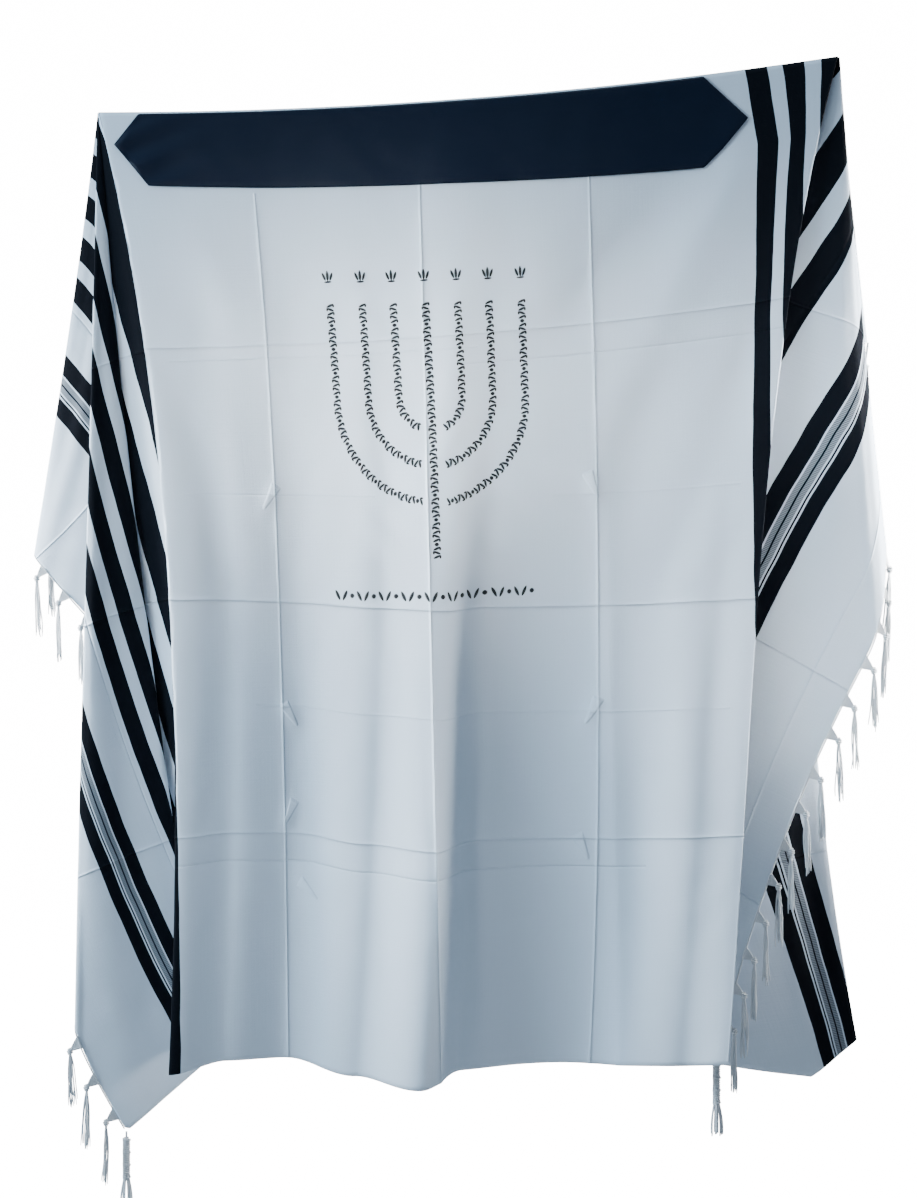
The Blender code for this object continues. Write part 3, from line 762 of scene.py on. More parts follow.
@dataclass(frozen=True)
class Relief:
    """Creases, pinches and soft folds of the cloth, in metres of cloth.

    A crease across the cloth fades over fade, outside and inside its two ends, and one that runs down
    fades in over top_fade. A soft fold is whole between the two shares of its length in fold_full.
    """

    ridge: CentreRidge = CentreRidge()
    mottle: Mottle = Mottle()
    fade: Pair = (0.02, 0.08)
    top_fade: float = 0.10
    across_uneven: Unevenness = Unevenness(0.25, 23.0, 40.0)
    down_uneven: Unevenness = Unevenness(0.3, 17.0, 50.0)
    pinch_stretch: float = 1.8
    fold_margin: float = 0.05
    fold_full: Pair = (0.35, 0.6)

    def pressed(self, crease: PressedCrease, offset: Array, shown: Array, uneven: Array) -> Array:
        """Height of a crease, from its offset, its fading and its unevenness at each place."""
        return crease.rise * shown * uneven * crease_profile(offset, crease.width)

    def heights(self, x: Array, down: Array) -> Iterable[Array]:
        """Raise every crease, pinch and soft fold.

        Args:
            x: places along the cloth.
            down: places down it.

        Yields:
            The height of each one at each place.
        """
        outside, inside = self.fade
        for crease in ACROSS_CREASES:
            offset = down - crease_place(crease, x - LEFT_END_LENGTH, PANEL_TOP_LENGTH)
            shown = smooth_step(crease.start - outside, crease.start + inside, x)
            shown = shown * (1.0 - smooth_step(crease.end - inside, crease.end + outside, x))
            yield self.pressed(crease, offset, shown, self.across_uneven.at(x, crease.at))
        for crease in DOWN_CREASES:
            offset = x - crease_place(crease, down, CLOTH_HEIGHT)
            shown = smooth_step(crease.start, crease.start + self.top_fade, down)
            yield self.pressed(crease, offset, shown, self.down_uneven.at(down, crease.at))
        for pinch in PINCHES:
            dx, dy = x - pinch.x, down - pinch.down
            across = dx * math.cos(pinch.turn) + dy * math.sin(pinch.turn)
            along = -dx * math.sin(pinch.turn) + dy * math.cos(pinch.turn)
            length = self.pinch_stretch * pinch.size
            yield pinch.rise * np.exp(-(across / pinch.size) ** 2 - (along / length) ** 2)
        for fold in SOFT_FOLDS:
            run = np.array((fold.x1 - fold.x0, fold.down1 - fold.down0))
            length = float(np.hypot(*run))
            along = ((x - fold.x0) * run[0] + (down - fold.down0) * run[1]) / length
            across = ((x - fold.x0) * run[1] - (down - fold.down0) * run[0]) / length
            full, fading = (share * length for share in self.fold_full)
            shown = smooth_step(-self.fold_margin, full, along)
            shown = shown * (1.0 - smooth_step(fading, length + self.fold_margin, along))
            yield fold.rise * shown * np.exp(-(across / fold.width) ** 2)

    def rise(self, x: Array, down: Array) -> Array:
        """Height of the whole relief above the smooth cloth.

        Args:
            x: places along the cloth.
            down: places down it.

        Returns:
            The height at each place.
        """
        total = self.ridge.rise(x, down)
        for height in self.heights(x, down):
            total = total + height
        return total + self.mottle.rise(x, down)


RELIEF = Relief()


@dataclass(frozen=True)
class SideWave:
    """One soft wave of a hanging end, in metres, with its pace by each measure of the cloth's place."""

    height: float
    by_angle: float = 0.0
    by_distance: float = 0.0
    by_down: float = 0.0
    by_along: float = 0.0
    phase: float = 0.0


SIDE_WAVES = (
    SideWave(0.0026, by_angle=0.55, by_distance=2.0, phase=0.8),
    SideWave(0.0016, by_angle=1.15, by_distance=-3.1),
    SideWave(0.0012, by_down=9.0, by_along=14.0),
)


def side_relief(side: Side, x: Array, down: Array) -> Array:
    """Soft uneven folds of the hanging ends.

    Args:
        side: the cloth outside one grip.
        x: places along the cloth.
        down: places down it.

    Returns:
        The height at each place, in metres.
    """
    along = (x - side.edge_x) * side.outward
    distance = np.hypot(along, down)
    angle = np.degrees(np.arctan2(along, down))
    total = np.zeros_like(distance)
    for wave in SIDE_WAVES:
        turn = angle * wave.by_angle + distance * wave.by_distance
        turn = turn + down * wave.by_down + along * wave.by_along + wave.phase
        total = total + wave.height * np.sin(turn)
    return swell(distance) * total


def top_calm(down: Array) -> Array:
    """Share of the relief that shows at places down the cloth."""
    return TOP_CALM + (1.0 - TOP_CALM) * smooth_step(0.0, TOP_CALM_DOWN, down)


# Cloth pieces

class Stretch(Enum):
    """Which stretch of the cloth a piece covers."""

    LEFT_END = "left"
    PANEL = "panel"
    RIGHT_END = "right"


@dataclass
class ClothSection:
    """Level sections through the whole hanging cloth, resampled so that turns get more points.

    soften is the step between the softening weights and turn_weight the length that a radian of bend
    counts for. The side relief is calm within calm_core of a turn and whole beyond calm_reach.
    """

    samples_per_fold: int = 44
    panel_samples: int = 420
    soften: float = 0.0006
    soften_weights: tuple[float, ...] = (1.0, 2.0, 3.0, 2.0, 1.0)
    turn_weight: float = 0.011
    calm_core: float = 0.002
    calm_reach: float = 0.030

    def side_places(self, side: Side) -> Array:
        """Columns of one side, closest together near its turns.

        Args:
            side: the cloth outside one grip.

        Returns:
            The columns, each a fold's number plus the share of the way to the next fold.
        """
        share = 0.5 - 0.5 * np.cos(np.pi * np.arange(self.samples_per_fold) / self.samples_per_fold)
        last = len(side.folds) - 1
        return np.concatenate([index + share for index in range(last)] + [np.array([float(last)])])

    def side_row(self, side: Side, places: Array, reach: Array, height: float) -> tuple[Array, Array]:
        """Section through one side, from the panel outwards.

        Args:
            side: the cloth outside one grip.
            places: its columns.
            reach: the distance from the grip to the cloth's edge along each column.
            height: the section's share of the height.

        Returns:
            Points, n x 3, and cloth coordinates, n x 2.
        """
        distance = GRIP_PINCH + height * (reach - GRIP_PINCH)
        angle = side.column_angle(places, distance)
        points = side.at(distance, angle)
        flat = np.stack((side.flat_x(distance, angle), distance * np.cos(angle)), axis=-1)
        return points, flat

    def rows(self, heights: Array) -> Iterable[tuple[Array, Array, dict[str, float], Array]]:
        """Whole sections from the left end to the right end.

        Args:
            heights: shares of the height.

        Yields:
            Points, cloth coordinates, the section length at which each stretch parts, and the section
            lengths of the turns.
        """
        left_places, right_places = self.side_places(LEFT), self.side_places(RIGHT)
        left_reach, right_reach = LEFT.reach(left_places), RIGHT.reach(right_places)
        shares = np.linspace(0.0, 1.0, self.panel_samples)[1:-1]
        step = self.samples_per_fold
        for height in heights:
            left, left_flat = self.side_row(LEFT, left_places, left_reach, height)
            right, right_flat = self.side_row(RIGHT, right_places, right_reach, height)
            panel, panel_flat = PANEL.at(shares, np.full(len(shares), height))
            points = np.concatenate((left[::-1], panel, right))
            flat = np.concatenate((left_flat[::-1], panel_flat, right_flat))
            lengths = np.concatenate(([0.0], np.cumsum(np.linalg.norm(np.diff(points, axis=0), axis=1))))
            offset = len(left) + len(panel)
            parting = {"left": lengths[len(left) - 1 - step], "right": lengths[offset + step]}
            turns = [lengths[len(left) - 1 - k * step] for k in range(len(LEFT.folds) - 1)]
            turns += [lengths[offset + k * step] for k in range(len(RIGHT.folds) - 1)]
            yield points, flat, parting, np.array(turns)

    def sample(self, points: Array, flat: Array, low: float, high: float, count: int,
               extra: Array) -> tuple[Array, Array, Array]:
        """Points along a section between two lengths, softened at its corners.

        Args:
            points: the section's points.
            flat: their cloth coordinates.
            low: section length of the first point.
            high: section length of the last one.
            count: how many points.
            extra: extra density at each of the section's points.

        Returns:
            The new points, their cloth coordinates and their section lengths.
        """
        steps = np.linalg.norm(np.diff(points, axis=0), axis=1)
        lengths = np.concatenate(([0.0], np.cumsum(steps)))
        heading = unit(np.diff(points, axis=0))
        bend = np.zeros(len(points))
        bend[1:-1] = np.arccos(np.clip((heading[1:] * heading[:-1]).sum(axis=1), -1.0, 1.0))
        density = np.concatenate(([0.0], np.cumsum(steps * 0.5 * (extra[1:] + extra[:-1]))))
        density = density + self.turn_weight * np.cumsum(bend)
        ends = np.interp((low, high), lengths, density)
        places = np.interp(np.linspace(ends[0], ends[1], count), density, lengths)
        places[0], places[-1] = low, high
        result = np.zeros((count, 3))
        weights = np.array(self.soften_weights)
        middle = len(weights) // 2
        for offset, weight in zip(range(-middle, middle + 1), weights / weights.sum()):
            near = np.clip(places + offset * self.soften, 0.0, lengths[-1])
            result += weight * np.stack([np.interp(near, lengths, points[:, k]) for k in range(3)], axis=-1)
        new_flat = np.stack([np.interp(places, lengths, flat[:, k]) for k in range(2)], axis=-1)
        return result, new_flat, places


def row_heights(count: int, dense: Sequence[float], extra: float = 2.2, width: float = 0.022) -> Array:
    """Shares of the height, closer together near the creases that run across.

    Args:
        count: how many rows.
        dense: the creases' shares of the height.
        extra: extra density right at a crease.
        width: the share of the height over which it falls off.

    Returns:
        The rows' shares of the height, from the top.
    """
    fine = np.linspace(0.0, 1.0, 4001)
    density = np.ones_like(fine)
    for place in dense:
        density += extra * np.exp(-((fine - place) / width) ** 2)
    total = np.concatenate(([0.0], np.cumsum(0.5 * (density[1:] + density[:-1]))))
    return np.interp(np.linspace(0.0, total[-1], count), total, fine)


@dataclass(frozen=True)
class ClothPart:
    """One piece of the cloth and the solids that it stands for."""

    name: str
    nodes: tuple[str, ...]


CLOTH_PARTS = {
    Stretch.LEFT_END: ClothPart("left_end_cloth", ("left_near_fall", "left_far_fall", "left_tail_fall")),
    Stretch.PANEL: ClothPart("panel_cloth", ("centre_panel",)),
    Stretch.RIGHT_END: ClothPart(
        "right_end_cloth",
        ("right_inner_fall", "right_turned_fall", "right_near_fall", "right_tail_fall")),
}


@dataclass
class Cloth:
    """The woven cloth, made as three pieces that part at the panel's side folds.

    rows and columns are each piece's grid. Columns are denser by dense_extra within dense_width of a
    crease that runs down, and rows near the creases that reach past whole_from, across the whole cloth.
    """

    rows: int = 236
    columns: int = 200
    dense_extra: float = 2.0
    dense_width: float = 0.010
    whole_from: float = 1.9
    section: ClothSection = field(default_factory=ClothSection)

    def crease_density(self, flat: Array, stretch: Stretch) -> Array:
        """Density of columns, higher near the panel's creases that run down.

        Args:
            flat: cloth coordinates of a section's points, n x 2.
            stretch: the stretch that is sampled.

        Returns:
            The density at each point, 1 where nothing adds to it.
        """
        density = np.ones(len(flat))
        if stretch is Stretch.PANEL:
            for crease in DOWN_CREASES:
                place = crease_place(crease, flat[:, 1], CLOTH_HEIGHT)
                density += self.dense_extra * np.exp(-((flat[:, 0] - place) / self.dense_width) ** 2)
        return density

    def grids(self) -> dict[Stretch, tuple[Array, Array, Array]]:
        """Sample every section of the cloth.

        Returns:
            For each stretch its points, cloth coordinates and calmness near the turns, as grids.
        """
        whole = [crease for crease in ACROSS_CREASES if crease.end > self.whole_from]
        dense = [(crease.at + 0.5 * crease.slope) / CLOTH_HEIGHT for crease in whole]
        heights = row_heights(self.rows, dense)
        found: dict[Stretch, tuple[list, list, list]] = {stretch: ([], [], []) for stretch in Stretch}
        for points, flat, parting, turns in self.section.rows(heights):
            total = float(np.linalg.norm(np.diff(points, axis=0), axis=1).sum())
            spans = {
                Stretch.LEFT_END: (0.0, parting["left"]),
                Stretch.PANEL: (parting["left"], parting["right"]),
                Stretch.RIGHT_END: (parting["right"], total),
            }
            for stretch, (low, high) in spans.items():
                extra = self.crease_density(flat, stretch)
                new, new_flat, places = self.section.sample(points, flat, low, high, self.columns, extra)
                near = np.abs(places[:, None] - turns[None, :]).min(axis=1)
                calm = smooth_step(self.section.calm_core, self.section.calm_reach, near)
                for kept, row in zip(found[stretch], (new, new_flat, calm)):
                    kept.append(row)
        return {stretch: tuple(np.stack(part) for part in parts) for stretch, parts in found.items()}

    def raise_relief(self, points: Array, flat: Array, calm: Array, stretch: Stretch) -> Array:
        """Move points along their normals by the creases and soft folds.

        Args:
            points: rows x columns x 3 positions on the smooth cloth.
            flat: their cloth coordinates.
            calm: 0 right at a turn to 1 away from it.
            stretch: which stretch they are.

        Returns:
            The moved points.
        """
        across = np.gradient(points, axis=1)
        down = np.gradient(points, axis=0)
        normals = unit(np.cross(down, across))
        flat_x, flat_down = flat[..., 0], flat[..., 1]
        rise = RELIEF.rise(flat_x, flat_down) * (TURN_CALM + (1.0 - TURN_CALM) * calm)
        sides = {Stretch.LEFT_END: LEFT, Stretch.RIGHT_END: RIGHT}
        if stretch in sides:
            rise = rise + side_relief(sides[stretch], flat_x, flat_down) * calm
        return points + normals * (rise * top_calm(flat_down))[..., None]

    def build(self, finish: Material) -> dict[Stretch, Piece]:
        """Make, thicken and dress the three pieces.

        Args:
            finish: the cloth's material.

        Returns:
            The pieces by stretch.
        """
        pieces = {}
        for stretch, (points, flat, calm) in self.grids().items():
            part = CLOTH_PARTS[stretch]
            piece = grid_piece(part.name, self.raise_relief(points, flat, calm, stretch), flat)
            apply_modifier(piece, "SOLIDIFY", thickness=CLOTH_THICKNESS, offset=0.0, use_even_offset=False)
            seat_piece(piece, part.nodes, finish)
            pieces[stretch] = piece
        return pieces


def panel_surface(x: Array, down: Array, step: float = 0.002) -> tuple[Array, Array]:
    """The creased panel at cloth coordinates.

    Args:
        x: n places along the cloth.
        down: n places down it.
        step: how far either side of a place its slope is read.

    Returns:
        World positions and forward normals, each n x 3.
    """
    def place(px: Array, py: Array) -> Array:
        """World positions of the smooth panel."""
        share, height = PANEL.find(px, py)
        return PANEL.at(share, height)[0]

    points = place(x, down)
    across = place(x + step, down) - place(x - step, down)
    along = place(x, down + step) - place(x, np.maximum(down - step, 0.0))
    normals = unit(np.cross(along, across))
    rise = RELIEF.rise(x, down) * top_calm(down)
    return points + normals * rise[:, None], normals


# Shader maths

class Signal:
    """A number that changes over a surface, with arithmetic that adds Math nodes."""

    def __init__(self, graph: "Graph", socket: bpy.types.NodeSocket) -> None:
        """Wrap an output socket of a graph."""
        self.graph = graph
        self.socket = socket

    def __add__(self, other: "Signal | float") -> "Signal":
        """Sum."""
        return self.graph.math("ADD", self, other)

    def __sub__(self, other: "Signal | float") -> "Signal":
        """Difference."""
        return self.graph.math("SUBTRACT", self, other)

    def __rsub__(self, other: float) -> "Signal":
        """Difference from a number."""
        return self.graph.math("SUBTRACT", other, self)

    def __mul__(self, other: "Signal | float") -> "Signal":
        """Product."""
        return self.graph.math("MULTIPLY", self, other)

    def __truediv__(self, other: "Signal | float") -> "Signal":
        """Quotient."""
        return self.graph.math("DIVIDE", self, other)

    __radd__ = __add__
    __rmul__ = __mul__


class Graph:
    """The node tree of one material."""

    def __init__(self, name: str) -> None:
        """Make a new material with its Principled shader.

        Args:
            name: the material's name.
        """
        self.material = bpy.data.materials.new(name)
        self.material.use_nodes = True
        self.tree = self.material.node_tree
        self.shader = self.tree.nodes["Principled BSDF"]

    def node(self, kind: str, settings: dict[str, object] | None = None,
             sockets: dict[int | str, object] | None = None, output: int | str = 0) -> Signal:
        """Add a node.

        Args:
            kind: the node's type.
            settings: its settings by name, set first; "stops" gives a ramp's places and colours.
            sockets: values or signals of its input sockets.
            output: which output to return.

        Returns:
            The chosen output.
        """
        node = self.tree.nodes.new(kind)
        for name, value in (settings or {}).items():
            if name == "stops":
                self.set_stops(node, value)
            else:
                setattr(node, name, value)
        for key, value in (sockets or {}).items():
            self.feed(node.inputs[key], value)
        return Signal(self, node.outputs[output])

    def set_stops(self, node: bpy.types.Node, stops: Sequence[tuple[float, tuple[float, ...]]]) -> None:
        """Set a colour ramp's stops, with no easing between them.

        Args:
            node: the colour ramp's node.
            stops: place and colour of each stop, from 0 to 1.
        """
        ramp = node.color_ramp
        ramp.interpolation = "CONSTANT"
        while len(ramp.elements) > 1:
            ramp.elements.remove(ramp.elements[-1])
        for index, (place, colour) in enumerate(stops):
            element = ramp.elements[0] if index == 0 else ramp.elements.new(place)
            element.position = place
            element.color = (*colour, 1.0)

    def feed(self, socket: bpy.types.NodeSocket, value: object) -> None:
        """Link a signal to a socket, or set its value.

        Args:
            socket: the input socket.
            value: the signal or the value.
        """
        if isinstance(value, Signal):
            self.tree.links.new(value.socket, socket)
        else:
            socket.default_value = value

    def math(self, operation: str, one: object, other: object = 0.0, clamp: bool = False) -> Signal:
        """A Math node."""
        return self.node("ShaderNodeMath", {"operation": operation, "use_clamp": clamp}, {0: one, 1: other})

    def mix(self, factor: object, one: object, other: object) -> Signal:
        """Mix of two colours."""
        return self.node("ShaderNodeMix", {"data_type": "RGBA"}, {0: factor, 6: one, 7: other}, 2)

    def vector(self, x: object, y: object, z: object = 0.0) -> Signal:
        """Vector from three numbers."""
        return self.node("ShaderNodeCombineXYZ", None, {0: x, 1: y, 2: z})

    def noise(self, place: Signal, scale: float, detail: float = 2.0) -> Signal:
        """Noise from 0 to 1."""
        sockets = {"Vector": place, "Scale": scale, "Detail": detail}
        return self.node("ShaderNodeTexNoise", None, sockets, "Fac")

    def uv_metres(self, metres: float) -> tuple[Signal, Signal]:
        """Read the UV map.

        Args:
            metres: how many metres the whole UV square stands for.

        Returns:
            Metres along and down the cloth.
        """
        uv = self.node("ShaderNodeUVMap", {"uv_map": "cloth"})
        parts = self.tree.nodes.new("ShaderNodeSeparateXYZ")
        self.feed(parts.inputs[0], uv)
        x = Signal(self, parts.outputs[0]) * metres
        down = (1.0 - Signal(self, parts.outputs[1])) * metres
        return x, down

    def bump(self, height: Signal, strength: float, distance: float) -> None:
        """Bump that feeds the shader's normal."""
        sockets = {"Strength": strength, "Distance": distance, "Height": height}
        self.feed(self.shader.inputs["Normal"], self.node("ShaderNodeBump", None, sockets))

    def uneven(self, x: object, down: object, detail: float = 2.0) -> Signal:
        """Noise whose grain is set by how far its two coordinates are stretched."""
        return self.noise(self.vector(x, down), 1.0, detail)

    def ripple(self, along: Signal, pitch: float) -> Signal:
        """Sine wave of a pitch in metres."""
        return self.math("SINE", along * (2.0 * math.pi / pitch))

    def dye(self, colour: Signal) -> None:
        """Feed the shader's base colour."""
        self.feed(self.shader.inputs["Base Color"], colour)

    def uniform(self, **values: object) -> None:
        """Set shader sockets to values that are the same all over."""
        for name, value in values.items():
            self.shader.inputs[name.replace("_", " ")].default_value = value


def tinted(colour: Sequence[float], share: float = 1.0) -> tuple[float, ...]:
    """A colour with each part times a share, no more than 1, and opaque."""
    return (*[min(1.0, part * share) for part in colour], 1.0)


@dataclass(frozen=True)
class WovenStripes:
    """The dark stripes of one end, in metres outwards from the first stripe's inner edge.

    pins are where the group of fine stripes changes, and to what darkness. The ramp starts lead metres
    before the first stripe and is span metres long.
    """

    bands: tuple[Pair, ...] = (
        (0.0, 0.0303), (0.0530, 0.0833), (0.1061, 0.1364), (0.1591, 0.1894), (0.2121, 0.2424),
        (0.3044, 0.3258))
    pins: tuple[Pair, ...] = (
        (0.3258, 0.0), (0.3271, 1.0), (0.3294, 0.0), (0.3307, 0.7), (0.3382, 1.0), (0.3409, 0.7),
        (0.3484, 0.0), (0.3497, 1.0), (0.3520, 0.0))
    last_band: Pair = (0.3533, 0.3754)
    lead: float = 0.05
    span: float = 0.6

    def stops(self) -> list[tuple[float, Triple]]:
        """Ramp stops of darkness against distance.

        Returns:
            Place on the ramp and grey colour of each stop.
        """
        levels = [(-self.lead, 0.0)]
        for start, end in self.bands:
            levels += [(start, 1.0), (end, 0.0)]
        levels = levels[:-1] + list(self.pins) + [(self.last_band[0], 1.0), (self.last_band[1], 0.0)]
        return [((place + self.lead) / self.span, (level,) * 3) for place, level in levels]


@dataclass(frozen=True)
class WoolFinish:
    """Fine wool in plain weave, bluish white, with woven black stripes.

    thread and pin_pitch are the pitches of the weave and of the fine dots in the pin stripes, in metres.
    pin_grey is the darkness that the dots break up, over pin_range either side of it, and the wavers are
    how far the stripes' edges stray. The slopes are how steeply the bump of a crease's core and of a
    pinch's sides and ends rises, by metres, the heights how high it gets for each metre of relief, and
    crumple_width and crumple_length are shares of the pinch's size.
    """

    white: Triple = (0.60, 0.68, 0.77)
    black: Triple = (0.0012, 0.0024, 0.0052)
    stripes: WovenStripes = WovenStripes()
    light_range: Pair = (0.93, 1.06)
    thread: float = 0.0011
    pin_pitch: float = 0.0024
    pin_grey: float = 0.7
    pin_range: float = 0.2
    pin_strength: float = 0.22
    fine_waver: float = 0.0009
    slow_waver: float = 0.005
    core_slope: float = 280.0
    core_height: float = 760.0
    crumple_width: float = 0.48
    crumple_taper: float = 0.16
    crumple_length: float = 1.7
    crumple_slopes: Pair = (420.0, 260.0)
    crumple_height: float = 420.0
    bump_depth: float = 0.0010

    def pressed(self, g: Graph, x: Signal, down: Signal) -> Signal:
        """Sharp cores of the pressed creases.

        Args:
            g: the material's graph.
            x: metres along the cloth.
            down: metres down it.

        Returns:
            Their bump height, in millimetres.
        """
        total = g.math("ADD", 0.0, 0.0)
        for crease in ACROSS_CREASES:
            share = (x - LEFT_END_LENGTH) / PANEL_TOP_LENGTH
            shown = g.math("GREATER_THAN", x, crease.start) * g.math("LESS_THAN", x, crease.end)
            core = self.core(g, down - crease.at - share * crease.slope, crease.rise)
            total = total + core * shown
        for crease in DOWN_CREASES:
            share = down / CLOTH_HEIGHT
            place = share * crease.slope + share * (1.0 - share) * (4.0 * crease.bow) + crease.at
            core = self.core(g, x - place, crease.rise)
            total = total + core * g.math("GREATER_THAN", down, crease.start)
        return total

    def core(self, g: Graph, offset: Signal, rise: float) -> Signal:
        """Section of one crease's sharp core."""
        near = g.math("SUBTRACT", 1.0, g.math("ABSOLUTE", offset) * self.core_slope, clamp=True)
        return near * near * (rise * self.core_height)

    def crumples(self, g: Graph, x: Signal, down: Signal) -> Signal:
        """Small flattened tucks of the pinches, narrower at their lower ends.

        Args:
            g: the material's graph.
            x: metres along the cloth.
            down: metres down it.

        Returns:
            Their bump height, in millimetres.
        """
        total = g.math("ADD", 0.0, 0.0)
        side_slope, end_slope = self.crumple_slopes
        for pinch in PINCHES:
            cosine, sine = math.cos(pinch.turn), math.sin(pinch.turn)
            dx, dy = x - pinch.x, down - pinch.down
            across, along = dx * cosine + dy * sine, dy * cosine - dx * sine
            width = self.crumple_width * pinch.size - along * self.crumple_taper
            length = self.crumple_length * pinch.size
            sides = g.math("MULTIPLY", width - g.math("ABSOLUTE", across), side_slope, clamp=True)
            ends = g.math("MULTIPLY", length - g.math("ABSOLUTE", along), end_slope, clamp=True)
            total = total + sides * ends * (pinch.rise * self.crumple_height)
        return total

    def ink(self, g: Graph, x: Signal, down: Signal) -> Signal:
        """How dark the woven stripes are, with wavering edges and dotted pin stripes.

        Args:
            g: the material's graph.
            x: metres along the cloth.
            down: metres down it.

        Returns:
            0 on the white cloth to 1 on a black stripe.
        """
        right_start = CLOTH_LENGTH - RIGHT_END_LENGTH - STRIPE_INSET_AT_RIGHT
        fine = (g.uneven(x * 40.0, down * 900.0) - 0.5) * self.fine_waver
        slow = (g.uneven(x * 2.0, down * 13.0, 1.0) - 0.5) * self.slow_waver
        stripe = g.math("MAXIMUM", LEFT_END_LENGTH - x, x - right_start)
        place = (stripe + (fine + slow) + self.stripes.lead) / self.stripes.span
        ink = g.node("ShaderNodeValToRGB", {"stops": self.stripes.stops()}, {0: place})
        off_grey = g.math("ABSOLUTE", ink - self.pin_grey) * (1.0 / self.pin_range)
        zone = g.math("SUBTRACT", 1.0, off_grey, clamp=True)
        return g.math("ADD", ink, zone * g.ripple(down, self.pin_pitch) * self.pin_strength, clamp=True)

    def make(self) -> Material:
        """Build the material.

        Returns:
            The wool.
        """
        g = Graph("wool_cloth")
        x, down = g.uv_metres(UV_METRES)
        warp_streak = g.uneven(x * 420.0, down * 9.0, 3.0)
        weft_streak = g.uneven(x * 9.0, down * 420.0, 3.0)
        cloud = g.noise(g.vector(x, down), 5.0, 3.0)
        tone = warp_streak * 0.10 + weft_streak * 0.10 + cloud * 0.10 - 0.15
        low, high = self.light_range
        lightness = g.math("ADD", tone * 2.5, 0.5, clamp=True)
        light = g.mix(lightness, tinted(self.white, low), tinted(self.white, high))
        g.dye(g.mix(self.ink(g, x, down), light, tinted(self.black)))
        weave = g.ripple(x, self.thread) * g.ripple(down, self.thread)
        height = weave * 0.05 + warp_streak * 0.22 + weft_streak * 0.22 + self.pressed(g, x, down)
        g.bump(height + self.crumples(g, x, down), 1.0, self.bump_depth)
        g.uniform(Roughness=0.9, Sheen_Weight=0.03, Sheen_Roughness=0.4, Specular_IOR_Level=0.10)
        return g.material


@dataclass(frozen=True)
class SatinFinish:
    """Dark navy satin twill of the neck band, with the twill's pitch in metres."""

    colour: Triple = (0.0010, 0.0036, 0.0100)
    lightest: float = 1.7
    twill_pitch: float = 0.0016
    bump_depth: float = 0.0006

    def make(self) -> Material:
        """Build the material.

        Returns:
            The satin.
        """
        g = Graph("satin_band")
        x, down = g.uv_metres(UV_METRES)
        cloud = g.uneven(x * 3.0, down * 12.0, 3.0)
        shade = g.math("ADD", cloud * 1.6, 0.5, clamp=True)
        g.dye(g.mix(shade, tinted(self.colour), tinted(self.colour, self.lightest)))
        streak = g.uneven(x * 14.0, down * 380.0)
        g.bump(g.ripple(x + down, self.twill_pitch) * 0.12 + streak * 0.6 + cloud, 0.35, self.bump_depth)
        g.feed(g.shader.inputs["Roughness"], cloud * 0.18 + 0.36)
        g.uniform(Specular_IOR_Level=0.16)
        return g.material


@dataclass(frozen=True)
class YarnFinish:
    """Soft twisted yarn, for the fringe, the tassels and, darker, for needlework.

    twist is the yarn's length in metres to one turn of its plies, and strands how many of them there are.
    """

    name: str = "fringe_yarn"
    colour: Triple = (0.74, 0.77, 0.80)
    twist: float = 0.0022
    roughness: float = 0.8
    darkest: float = 0.72
    strands: float = 6.0
    bump_depth: float = 0.0005

    def make(self) -> Material:
        """Build the material.

        Returns:
            The yarn.
        """
        g = Graph(self.name)
        along, around = g.uv_metres(1.0)
        ply = g.ripple(along / self.twist + around * self.strands, 1.0)
        fuzz = g.uneven(along * 300.0, around * 12.0)
        # Painted shade: the colour follows the bump. It is darker in the grooves between the plies and in
        # the hollows of the fuzz, and lighter on their crests.
        shade = g.math("ADD", ply * 0.12 + fuzz * 0.35, 0.45, clamp=True)
        g.dye(g.mix(shade, tinted(self.colour, self.darkest), tinted(self.colour)))
        g.bump(ply * 0.5 + fuzz, 0.5, self.bump_depth)
        g.uniform(Roughness=self.roughness, Sheen_Weight=0.3, Specular_IOR_Level=0.25)
        return g.material


# Neck band

